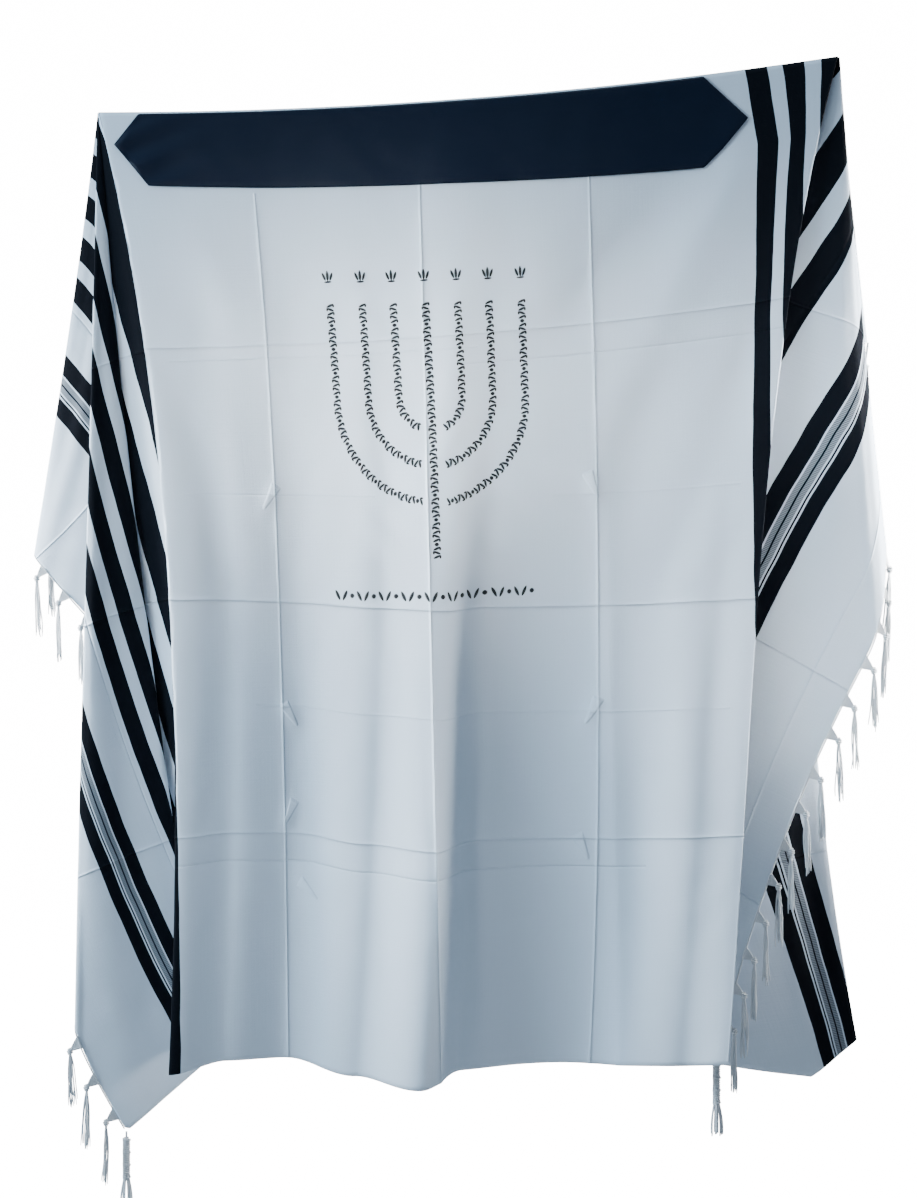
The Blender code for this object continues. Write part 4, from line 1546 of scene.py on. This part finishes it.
@dataclass
class NeckBand:
    """The satin band sewn along the middle of the top edge, with pointed ends.

    The points' sizes are along the cloth, at the left and the right end. bottom is where its lower edge
    lies at those ends and tip_down where its tips lie. crown is how far the middle stands above the
    edges, over crown_reach, and pucker how far the left end ripples, over pucker_reach.
    """

    start: float = LEFT_END_LENGTH + 0.011
    end: float = LEFT_END_LENGTH + 0.8895
    upper_point: Pair = (0.044, 0.052)
    lower_point: Pair = (0.036, 0.066)
    top: float = 0.0045
    bottom: Pair = (0.1055, 0.1360)
    tip_down: Pair = (0.048, 0.0715)
    lift: float = 0.0009
    thickness: float = 0.0012
    crown: float = 0.0006
    crown_reach: float = 0.008
    pucker: float = 0.0016
    pucker_reach: float = 0.09
    pucker_pace: Pair = (60.0, 150.0)
    flat_edge: float = 0.01
    end_density: float = 0.04
    weld: float = 0.0002
    columns: int = 300
    rows: int = 44

    def outline(self, x: Array) -> tuple[Array, Array]:
        """How far down the band's upper and lower edges lie.

        Args:
            x: places along the cloth, in metres.

        Returns:
            The upper edge's and the lower edge's distance from the top edge.
        """
        share = (x - self.start) / (self.end - self.start)
        bottom = self.bottom[0] + (self.bottom[1] - self.bottom[0]) * share
        edges = []
        for edge, points in ((np.full_like(x, self.top), self.upper_point), (bottom, self.lower_point)):
            left = np.clip((x - self.start) / points[0], 0.0, 1.0)
            right = np.clip((self.end - x) / points[1], 0.0, 1.0)
            inner = self.tip_down[0] + (edge - self.tip_down[0]) * left
            edges.append(np.where(share < 0.5, inner, self.tip_down[1] + (edge - self.tip_down[1]) * right))
        return edges[0], edges[1]

    def build(self, finish: Material) -> Piece:
        """Make and dress the band.

        Args:
            finish: the satin.

        Returns:
            The band.
        """
        share = np.linspace(0.0, 1.0, self.columns)
        eased = share + self.end_density * np.sin(2.0 * np.pi * share) / (2.0 * np.pi)
        x = self.start + (self.end - self.start) * eased
        top, bottom = self.outline(x)
        across = np.linspace(0.0, 1.0, self.rows)
        grid_x = np.repeat(x[None, :], self.rows, axis=0)
        grid_down = top[None, :] + (bottom - top)[None, :] * across[:, None]
        points, normals = panel_surface(grid_x.reshape(-1), grid_down.reshape(-1))
        flat = np.stack((grid_x, grid_down), axis=-1)
        edge = np.minimum(np.minimum(grid_down - top[None, :], bottom[None, :] - grid_down),
                          np.minimum(grid_x - self.start, self.end - grid_x))
        crown = self.crown * smooth_step(0.0, self.crown_reach, edge)
        ripple = np.sin(grid_down * self.pucker_pace[1] + grid_x * self.pucker_pace[0])
        pucker = self.pucker * np.exp(-((grid_x - self.start) / self.pucker_reach) ** 2) * ripple
        lift = self.lift + self.thickness / 2.0 + CLOTH_THICKNESS / 2.0 + crown
        lift = lift + pucker * smooth_step(0.0, self.flat_edge, edge)
        shaped = (points + normals * lift.reshape(-1)[:, None]).reshape(self.rows, self.columns, 3)
        piece = grid_piece("neck_band_satin", shaped, flat)
        apply_modifier(piece, "WELD", merge_threshold=self.weld)
        apply_modifier(piece, "SOLIDIFY", thickness=self.thickness, offset=0.0)
        seat_piece(piece, ("neck_band",), finish)
        return piece


# Needlework

@dataclass(frozen=True)
class Mark:
    """A satin-stitch mark at a place on the cloth, turned from straight up, in shares of the usual size."""

    x: float
    down: float
    turn: float = 0.0
    length: float = 1.0
    width: float = 1.0


@dataclass
class Needlework:
    """A seven-branched lamp worked in small satin-stitch marks, a pattern of bars, lozenges and leaves.

    slant is how far the work drops for each metre along the cloth, arms are the branches' distances from
    the stem and bottoms how far down they reach, and stem_gap is what each leaves open beside the stem.
    """

    centre: float = LEFT_END_LENGTH + 0.423
    slant: float = 0.045
    branch_top: float = 0.285
    head_down: float = 0.246
    stem_foot: float = 0.640
    stem_gap: float = 0.017
    arms: Triple = (0.0455, 0.0905, 0.1375)
    bottoms: Triple = (0.463, 0.512, 0.563)
    mark_length: float = 0.0120
    mark_width: float = 0.0044
    mark_rise: float = 0.0006
    mark_foot: float = 0.00005
    pitch: float = 0.0056
    bar_offset: float = 0.0046
    border_down: float = 0.692
    border_start: float = -0.150
    border_pitch: float = 0.0112
    border_marks: int = 27
    marks: list[Mark] = field(default_factory=list)

    def mark_shape(self, stations: int = 6) -> tuple[Array, list[tuple[int, ...]]]:
        """A domed mark of unit size.

        Args:
            stations: how many sections it has.

        Returns:
            Its points, as width, length and height, and its faces.
        """
        rows = []
        lengths = np.linspace(0.0, 1.0, stations)
        widths = np.clip(np.sin(np.pi * lengths) ** 0.45, 0.3, 1.0)
        for place, width in zip(lengths, widths):
            for side, rise in ((-1.0, 0.0), (-0.5, 0.85), (0.5, 0.85), (1.0, 0.0)):
                rows.append((0.5 * side * width, place - 0.5, rise * width))
        last = stations - 1
        faces = [
            (i * 4 + j, i * 4 + j + 1, (i + 1) * 4 + j + 1, (i + 1) * 4 + j)
            for i in range(last) for j in range(3)
        ]
        faces += [((i + 1) * 4, (i + 1) * 4 + 3, i * 4 + 3, i * 4) for i in range(last)]
        faces += [(3, 2, 1, 0), (last * 4, last * 4 + 1, last * 4 + 2, last * 4 + 3)]
        return np.array(rows), faces

    def add(self, *marks: Mark) -> None:
        """Note marks, slanted with the rest of the work."""
        self.marks += [replace(mark, down=mark.down + self.slant * (mark.x - self.centre)) for mark in marks]

    def follow(self, path: Array) -> None:
        """Set marks along a path: slanted bars in turn with short bars at its edges, and lozenges.

        Args:
            path: places along and down the cloth, n x 2.
        """
        steps = np.linalg.norm(np.diff(path, axis=0), axis=1)
        lengths = np.concatenate(([0.0], np.cumsum(steps)))
        count = max(2, int(round(lengths[-1] / self.pitch)))
        for number in range(count):
            place = lengths[-1] * (number + 0.5) / count
            near = [
                [np.interp(place + offset, lengths, path[:, k]) for k in range(2)]
                for offset in (-0.001, 0.001)
            ]
            x, down = (0.5 * (near[0][k] + near[1][k]) for k in range(2))
            heading = math.atan2(near[1][0] - near[0][0], near[0][1] - near[1][1])
            side = 1.0 if number % 2 else -1.0
            if number % 6 == 5:
                self.add(Mark(x, down, heading, 0.42, 1.5))
                continue
            out = side * self.bar_offset
            self.add(Mark(x, down, heading + math.pi / 2.0 + side * 0.38, 0.92, 0.85),
                     Mark(x + out * math.cos(heading), down + out * math.sin(heading), heading, 0.40, 0.7))

    def add_head(self, x: float) -> None:
        """Work the flame over one branch: a tall leaf between two short ones, over a bar.

        Args:
            x: the branch's place along the cloth.
        """
        down = self.head_down
        self.add(Mark(x, down, 0.0, 1.25, 1.0))
        for side in (-1.0, 1.0):
            self.add(Mark(x + side * 0.0052, down + 0.001, side * 0.35, 1.0, 0.9))
        self.add(Mark(x, down + 0.0085, math.pi / 2.0, 0.9, 0.7))

    def add_arm(self, radius: float, bottom: float, side: float) -> None:
        """Work one branch: straight down, then round towards the stem.

        Args:
            radius: its distance from the stem.
            bottom: how far down it reaches.
            side: -1 at the left of the stem, 1 at the right.
        """
        straight = bottom - radius
        down = np.linspace(self.branch_top, straight, 30)
        upper = np.stack((np.full(len(down), self.centre + side * radius), down), axis=-1)
        turn = np.linspace(0.0, math.acos(min(1.0, self.stem_gap / radius)), 40)
        round_x = self.centre + side * radius * np.cos(turn)
        lower = np.stack((round_x, straight + radius * np.sin(turn)), axis=-1)
        self.follow(np.concatenate((upper, lower[1:])))

    def add_border(self) -> None:
        """Work the row below the lamp: zigzags with a dot after each pair."""
        for number in range(self.border_marks):
            x = self.centre + self.border_start + number * self.border_pitch
            if number % 3 == 2:
                self.add(Mark(x, self.border_down, 0.0, 0.55, 1.6))
                continue
            self.add(Mark(x, self.border_down, 0.45 if number % 3 else -0.45, 1.25, 1.1))

    def build(self, finish: Material) -> Piece:
        """Work the whole lamp and dress it.

        Args:
            finish: the thread.

        Returns:
            The needlework.
        """
        for radius, bottom in zip(self.arms, self.bottoms):
            for side in (-1.0, 1.0):
                self.add_arm(radius, bottom, side)
                self.add_head(self.centre + side * radius)
        self.add_head(self.centre)
        stem = np.linspace(self.branch_top, self.stem_foot, 40)
        self.follow(np.stack((np.full(len(stem), self.centre), stem), axis=-1))
        self.add_border()
        shape, faces = self.mark_shape()
        marks = np.array([astuple(mark) for mark in self.marks])
        wide = shape[None, :, 0] * (self.mark_width * marks[:, 4])[:, None]
        long = shape[None, :, 1] * (self.mark_length * marks[:, 3])[:, None]
        cosine, sine = np.cos(marks[:, 2])[:, None], np.sin(marks[:, 2])[:, None]
        x = marks[:, 0][:, None] + wide * cosine + long * sine
        down = marks[:, 1][:, None] + wide * sine - long * cosine
        places, normals = panel_surface(x.reshape(-1), down.reshape(-1))
        rise = CLOTH_THICKNESS / 2.0 + self.mark_foot + np.tile(shape[:, 2], len(marks)) * self.mark_rise
        starts = range(0, len(marks) * len(shape), len(shape))
        every = [tuple(k + first for k in face) for first in starts for face in faces]
        along = np.stack((long.reshape(-1), 1.0 - wide.reshape(-1)), axis=-1)
        piece = joined_piece("lamp_needlework", places + normals * rise[:, None], every, along)
        seat_piece(piece, (), finish)
        return piece


# Yarn work

@dataclass
class YarnBundle:
    """Yarns gathered into one mesh."""

    sides: int = 5
    points: list[Array] = field(default_factory=list)
    faces: list[tuple[int, ...]] = field(default_factory=list)
    along: list[Array] = field(default_factory=list)
    count: int = 0

    def add(self, path: Array, radii: Array | float, sides: int | None = None) -> None:
        """Lay one closed yarn along a path.

        Args:
            path: its centre line, n x 3.
            radii: its radius, or one for each point.
            sides: how many sides, if not the bundle's.
        """
        around = sides or self.sides
        size = np.broadcast_to(np.asarray(radii, dtype=float), (len(path),))
        heading = unit(np.gradient(path, axis=0))
        start = np.array((0.0, 1.0, 0.0)) if abs(heading[0][1]) < 0.8 else np.array((1.0, 0.0, 0.0))
        side = unit(np.cross(heading, start))
        other = unit(np.cross(heading, side))
        turn = 2.0 * np.pi * np.arange(around) / around
        cosine, sine = np.cos(turn)[None, :, None], np.sin(turn)[None, :, None]
        ring = side[:, None, :] * cosine + other[:, None, :] * sine
        rings = path[:, None, :] + ring * size[:, None, None]
        lengths = np.concatenate(([0.0], np.cumsum(np.linalg.norm(np.diff(path, axis=0), axis=1))))
        self.points.append(rings.reshape(-1, 3))
        uv = np.stack((np.repeat(lengths, around), np.tile(1.0 - turn / (2.0 * np.pi), len(path))), axis=-1)
        self.along.append(uv)
        base = self.count
        for i in range(len(path) - 1):
            for j in range(around):
                k = (j + 1) % around
                low, high = base + i * around, base + (i + 1) * around
                self.faces.append((low + j, high + j, high + k, low + k))
        self.faces.append(tuple(base + j for j in range(around)))
        last = base + (len(path) - 1) * around
        self.faces.append(tuple(last + j for j in range(around - 1, -1, -1)))
        self.count += len(path) * around

    def knot(self, centre: Array, radius: float, height: float, turns: int = 3) -> None:
        """A round knot of a few wraps of yarn about a vertical core.

        Args:
            centre: its middle.
            radius: how far its widest wrap runs from there.
            height: how high it is.
            turns: how many wraps it has.
        """
        angle = np.linspace(0.0, 2.0 * np.pi * turns, 14 * turns)
        drop = np.linspace(0.5, -0.5, len(angle)) * height
        wide = np.cos(np.linspace(-1.2, 1.2, len(angle)))
        path = np.stack((np.cos(angle) * radius * wide, np.sin(angle) * radius * wide, drop), axis=-1)
        self.add(centre + path, height / (2.0 * turns) * 1.15)

    def build(self, name: str, nodes: Sequence[str], finish: Material) -> Piece:
        """Turn the bundle into a dressed piece.

        Args:
            name: the piece's name.
            nodes: the solids that it replaces.
            finish: the yarn.

        Returns:
            The piece.
        """
        piece = joined_piece(name, np.concatenate(self.points), self.faces, np.concatenate(self.along))
        seat_piece(piece, nodes, finish)
        return piece


@dataclass
class Fringe:
    """The knotted fringe along one end.

    knot_out and knot_drop place each tuft's knot from the cloth's edge, and knot_clear moves it off an
    edge that hangs steeply. root_width is the cloth that one tuft takes in, and skirt the radius over
    which its strands spread below the knot, skirt_flat of that across the edge.
    """

    label: str
    side: Side
    nodes: tuple[str, ...]
    seed: int
    tufts: int = 25
    pitch: float = 0.055
    first: float = 0.025
    uneven: float = 0.0015
    strands: int = 13
    length: float = 0.083
    yarn: float = 0.00085
    knot_out: float = 0.0115
    knot_drop: float = 0.006
    knot_clear: float = 0.0035
    knot_size: Pair = (0.0034, 0.0085)
    root_width: float = 0.018
    skirt: float = 0.0052
    skirt_flat: float = 0.55
    sway: Pair = (0.0022, 0.0014)
    largest_lean: float = 0.3
    cord_step: float = 0.004
    cord_out: float = 0.0012
    cord_radius: float = 0.0011

    def lean(self, edge: Array, down: float) -> float:
        """Find how the cloth leans at its end.

        Args:
            edge: a point of the end.
            down: its distance down the end.

        Returns:
            How far the cloth falls backwards for each metre that it falls.
        """
        slope = self.side.at_flat(self.side.end_length + 0.02, down) - edge
        steepness = slope[1] / max(0.004, abs(slope[2]) + abs(slope[0]))
        return float(np.clip(steepness, -self.largest_lean, self.largest_lean))

    def add_tuft(self, bundle: YarnBundle, down: float, rng: np.random.Generator) -> None:
        """Tie one knotted tuft.

        Args:
            bundle: the yarns to add to.
            down: its distance down the end.
            rng: the source of its unevenness.
        """
        edge, outward, along = self.side.end_frame(down)
        level = np.array((outward[0], outward[1], 0.0))
        if np.linalg.norm(level) < 0.2:
            level = np.array((-along[0], -along[1], 0.0))
        level = unit(level)
        knot = edge + outward * self.knot_out + np.array((0.0, 0.0, -self.knot_drop))
        if along[2] < -0.5:
            knot = knot + level * self.knot_clear
        across = np.array((-level[1], level[0], 0.0))
        fall = np.array((0.0, self.lean(edge, down), -1.0))
        for number in range(self.strands):
            spread = (number / (self.strands - 1) - 0.5) * self.root_width
            root = self.side.at_flat(self.side.end_length - 0.001, down + spread)
            length = self.length * rng.uniform(0.86, 1.04)
            turn = rng.uniform(0.0, 2.0 * np.pi)
            radius = self.skirt * math.sqrt(rng.uniform(0.05, 1.0))
            aside = level * (math.cos(turn) * radius) + across * (math.sin(turn) * radius * self.skirt_flat)
            sway = level * rng.normal(0.0, self.sway[0]) + across * rng.normal(0.0, self.sway[1])
            share = np.linspace(0.0, 1.0, 9)[:, None]
            upper = root + (knot - root) * share
            upper = upper + outward * (np.sin(share * np.pi) * self.cord_out)
            share = np.linspace(0.08, 1.0, 10)[:, None]
            bulge = np.sin(share * np.pi * 0.75)
            wave = np.sin(share * rng.uniform(4.0, 9.0) + turn) * 0.0007
            lower = knot + fall * (length * share) + aside * bulge + sway * share ** 2 + level * wave
            path = np.concatenate((upper[:-1], knot[None, :], lower))
            radii = np.full(len(path), self.yarn)
            radii[-1] = self.yarn * 0.6
            bundle.add(path, radii, 4)
        bundle.knot(knot + fall * 0.001, *self.knot_size)

    def add_edge_cord(self, bundle: YarnBundle, first: float, last: float) -> None:
        """Whip the edge that the tufts grow from.

        Args:
            bundle: the yarns to add to.
            first: the distance down the end at which the cord starts.
            last: where it ends.
        """
        path = []
        for down in np.arange(first, last, self.cord_step):
            edge, outward, _ = self.side.end_frame(float(down))
            path.append(edge + outward * self.cord_out)
        bundle.add(np.array(path), self.cord_radius)

    def build(self, finish: Material) -> Piece:
        """Make the whole fringe of this end.

        Args:
            finish: the yarn.

        Returns:
            The fringe.
        """
        rng = np.random.default_rng(self.seed)
        bundle = YarnBundle()
        height = self.side.end_height()
        self.add_edge_cord(bundle, 0.003, height - 0.003)
        for number in range(self.tufts):
            down = self.first + number * self.pitch + rng.normal(0.0, self.uneven)
            if down < height - self.knot_drop:
                self.add_tuft(bundle, down, rng)
        return bundle.build(self.label + "_fringe_yarn", self.nodes, finish)


@dataclass
class CornerTassel:
    """A wound tassel tied at one corner of the cloth.

    wound and strand are the lengths of its wound part and its skirt, the cords are the way from the
    corner to its knot at a lower and an upper corner, and core is the radius of what the windings go
    round, at four stations down it.
    """

    label: str
    side: Side
    low: bool
    seed: int
    wound: float = 0.052
    strand: float = 0.045
    low_cord: Triple = (0.0, 0.0, -0.012)
    top_cord: Triple = (0.0, 0.024, -0.031)
    cord_spread: float = 0.0009
    cord_yarn: float = 0.0008
    core: tuple[float, ...] = (0.002, 0.0038, 0.0040, 0.0036)
    winding_radius: float = 0.0043
    windings: int = 17
    knots: tuple[float, ...] = (0.0, 0.34, 0.67, 1.0)
    knot_size: Pair = (0.0050, 0.0065)
    skirt_strands: int = 12
    skirt_yarn: float = 0.0011
    skirt_spread: Pair = (0.0034, 0.0056)

    def add_cord(self, bundle: YarnBundle, start: Array, knot: Array) -> None:
        """Lay four twisted yarns.

        Args:
            bundle: the yarns to add to.
            start: the cloth's corner.
            knot: where they end.
        """
        for turn in (0.0, math.pi / 2.0, math.pi, 3.0 * math.pi / 2.0):
            share = np.linspace(0.0, 1.0, 16)
            twist = turn + share * 7.0
            ring = np.stack((np.cos(twist), np.sin(twist), np.zeros(16)), axis=-1) * self.cord_spread
            bundle.add(start + (knot - start) * share[:, None] + ring, self.cord_yarn)

    def add_windings(self, bundle: YarnBundle, knot: Array, foot: Array) -> None:
        """Wind yarn round the core, with double knots along it.

        Args:
            bundle: the yarns to add to.
            knot: the top of the wound part.
            foot: its lower end.
        """
        core = np.stack([knot + np.array((0.0, 0.0, 0.003)), knot, (knot + foot) / 2.0, foot])
        bundle.add(core, np.array(self.core), 8)
        angle = np.linspace(0.0, 2.0 * np.pi * self.windings, self.windings * 12)
        radius = self.winding_radius
        drop = -self.wound * angle / angle[-1]
        path = knot + np.stack((np.cos(angle) * radius, np.sin(angle) * radius, drop), axis=-1)
        bundle.add(path, self.wound / self.windings / 2.0 * 1.02)
        for share in self.knots:
            bundle.knot(knot + (foot - knot) * share, *self.knot_size, 2)

    def add_skirt(self, bundle: YarnBundle, foot: Array, rng: np.random.Generator) -> None:
        """Hang the loose strands below the windings.

        Args:
            bundle: the yarns to add to.
            foot: the lower end of the wound part.
            rng: the source of their unevenness.
        """
        for number in range(self.skirt_strands):
            turn = 2.0 * math.pi * number / float(self.skirt_strands) + rng.uniform(-0.2, 0.2)
            out = np.array((math.cos(turn), math.sin(turn), 0.0))
            share = np.linspace(0.0, 1.0, 11)[:, None]
            length = self.strand * rng.uniform(0.9, 1.04)
            near, more = self.skirt_spread
            spread = near + more * np.sin(share * 1.9) * rng.uniform(0.5, 1.0)
            bundle.add(foot + np.array((0.0, 0.0, -1.0)) * length * share + out * spread, self.skirt_yarn)

    def build(self, finish: Material) -> Piece:
        """Make the tassel: cord, windings with their knots, and loose strands.

        Args:
            finish: the yarn.

        Returns:
            The tassel.
        """
        rng = np.random.default_rng(self.seed)
        bundle = YarnBundle()
        down = self.side.end_height() if self.low else 0.0
        onward = 1.0 if self.low else -1.0
        corner = self.side.at_flat(self.side.end_length, down)
        _, outward, along = self.side.end_frame(down - onward * 0.004)
        start = corner + unit(outward + along * onward) * 0.0010
        knot = start + np.array(self.low_cord if self.low else self.top_cord)
        foot = knot + np.array((0.0, 0.0, -self.wound))
        self.add_cord(bundle, start, knot)
        self.add_windings(bundle, knot, foot)
        self.add_skirt(bundle, foot, rng)
        name = self.label + ("_bottom" if self.low else "_top") + "_tassel"
        return bundle.build(name + "_yarn", (name,), finish)


# Studio

@dataclass(frozen=True)
class SoftLight:
    """A square area light aimed at a point, with its spread in degrees."""

    name: str
    place: Triple
    aim: Triple
    size: float
    power: float
    colour: Triple = (1.0, 1.0, 1.0)
    spread: float = 180.0


SHAWL_MIDDLE = (-0.52, 0.0, -0.75)
LIGHTS = (
    SoftLight("key", (-3.8, -1.25, 0.5), SHAWL_MIDDLE, 1.2, 218.0, (0.60, 0.82, 1.0)),
    SoftLight("top", (-0.5, -0.8, 2.4), SHAWL_MIDDLE, 0.8, 44.0, (0.66, 0.85, 1.0)),
    SoftLight("front", (-2.0, -2.5, -0.4), (-0.62, 0.0, -0.46), 0.4, 1.5, (1.0, 0.96, 0.91), 15.0),
    SoftLight("front_low", (-3.0, -2.0, -0.9), (-0.82, 0.0, -1.05), 0.5, 0.55, (0.80, 0.91, 1.0), 15.0),
    SoftLight("left_accent", (-2.6, -0.15, -0.3), (-1.05, 0.08, -0.75), 0.5, 9.0, spread=40.0),
    SoftLight("right_accent", (2.1, 0.14, -0.1), (0.14, 0.05, -0.55), 0.5, 20.0, spread=30.0),
    SoftLight("right_front", (1.6, -1.3, -0.1), (0.14, 0.0, -0.45), 0.40, 1.1, spread=13.0),
    SoftLight("right_low", (1.6, -1.3, -0.8), (0.05, 0.0, -0.85), 0.30, 0.5, spread=9.0),
    SoftLight("back", (-0.5, 4.0, 0.8), SHAWL_MIDDLE, 2.0, 190.0, (0.92, 0.96, 1.0)),
)


@dataclass
class Studio:
    """Camera, soft lights, floor and dome.

    frame_height is how much shows at the shawl, and ambient, sky and backdrop are the dome's light on
    the object, its colour, and how bright the camera sees the ground.
    """

    camera_place: Triple = (-0.523, -3.0, -0.749)
    frame_height: float = 1.6501
    floor_level: float = -1.95
    dome_radius: float = 30.0
    ambient: float = 0.24
    sky: Triple = (0.70, 0.80, 1.0)
    backdrop: float = 16.0
    floor_paleness: float = 0.6
    floor_size: float = 60.0
    sensor: float = 36.0

    def pale_stage(self, piece: Piece, name: str, paleness: float, otherwise: float) -> None:
        """Dress a stage piece so that the camera sees it white and the object gets a softer light from it.

        Args:
            piece: the stage piece.
            name: its name.
            paleness: how much light it throws back.
            otherwise: the light it gives to all but the camera.
        """
        g = Graph(name)
        g.uniform(Base_Color=(paleness, paleness, paleness, 1.0), Roughness=1.0, Specular_IOR_Level=0.0)
        seen = g.node("ShaderNodeLightPath", output="Is Camera Ray")
        g.feed(g.shader.inputs["Emission Color"], g.mix(seen, (*self.sky, 1.0), (1.0, 1.0, 1.0, 1.0)))
        g.feed(g.shader.inputs["Emission Strength"], seen * (self.backdrop - otherwise) + otherwise)
        piece.name = name
        piece.data.materials.append(g.material)

    def add_light(self, light: SoftLight) -> None:
        """Hang one of the lights.

        Args:
            light: its place, aim and strength.
        """
        data = bpy.data.lights.new(light.name, "AREA")
        data.shape = "SQUARE"
        data.size = light.size
        data.energy = light.power
        data.color = light.colour
        data.spread = math.radians(light.spread)
        lamp = bpy.data.objects.new(light.name, data)
        lamp.location = light.place
        heading = Vector(light.aim) - Vector(light.place)
        lamp.rotation_euler = heading.to_track_quat("-Z", "Y").to_euler()
        bpy.context.scene.collection.objects.link(lamp)

    def build(self) -> None:
        """Set up the whole studio."""
        data = bpy.data.cameras.new("camera")
        data.sensor_fit = "AUTO"
        data.sensor_width = self.sensor
        data.lens = self.sensor * abs(self.camera_place[1]) / self.frame_height
        camera = bpy.data.objects.new("camera", data)
        camera.location = self.camera_place
        camera.rotation_euler = (math.pi / 2.0, 0.0, 0.0)
        bpy.context.scene.collection.objects.link(camera)
        bpy.context.scene.camera = camera
        deselect()
        bpy.ops.mesh.primitive_plane_add(size=self.floor_size, location=(0.0, 0.0, self.floor_level))
        bpy.ops.object.transform_apply(location=True, rotation=False, scale=False)
        self.pale_stage(bpy.context.active_object, "pale_floor", self.floor_paleness, 0.0)
        bpy.ops.mesh.primitive_uv_sphere_add(segments=32, ring_count=16, radius=self.dome_radius)
        self.pale_stage(bpy.context.active_object, "pale_dome", 0.0, self.ambient)
        for light in LIGHTS:
            self.add_light(light)


def past_edge(side: Side) -> Pair:
    """How far the panel reaches past the line straight down from a grip, on the flat cloth.

    Args:
        side: the cloth outside that grip.

    Returns:
        The most that it reaches, in metres, and the area there in square metres, both below zero where
        the outer stretch reaches in.
    """
    distance = np.linspace(0.0, float(side.reach(np.zeros(1))[0]), 80)
    _, angle = side.on_fold(distance, 0)
    across, down = distance * np.sin(angle), distance * np.cos(angle)
    area = float(np.sum(0.5 * (across[1:] + across[:-1]) * np.diff(down)))
    return float(across[np.argmax(np.abs(across))]), area


def main() -> None:
    """Build every piece in order."""
    logging.basicConfig(level=logging.INFO, format="%(name)s: %(message)s")
    wool = WoolFinish().make()
    satin = SatinFinish().make()
    yarn = YarnFinish().make()
    thread = YarnFinish("needlework_thread", (0.0015, 0.0020, 0.0032), twist=0.0012, roughness=0.7).make()
    cloths = Cloth().build(wool)
    band = NeckBand().build(satin)
    lamp = Needlework().build(thread)
    left_fringe = Fringe("left", LEFT, tuple("left_fringe_%d" % k for k in range(1, 6)), 11).build(yarn)
    right_fringe = Fringe("right", RIGHT, tuple("right_fringe_%d" % k for k in range(1, 4)), 23).build(yarn)
    tassels = {
        (label, low): CornerTassel(label, side, low, 31 + number).build(yarn)
        for number, (label, side, low) in enumerate((
            ("left", LEFT, True), ("left", LEFT, False), ("right", RIGHT, True), ("right", RIGHT, False)))
    }
    (left_past, left_area), (right_past, right_area) = past_edge(LEFT), past_edge(RIGHT)
    Studio().build()


if __name__ == "__main__":
    main()
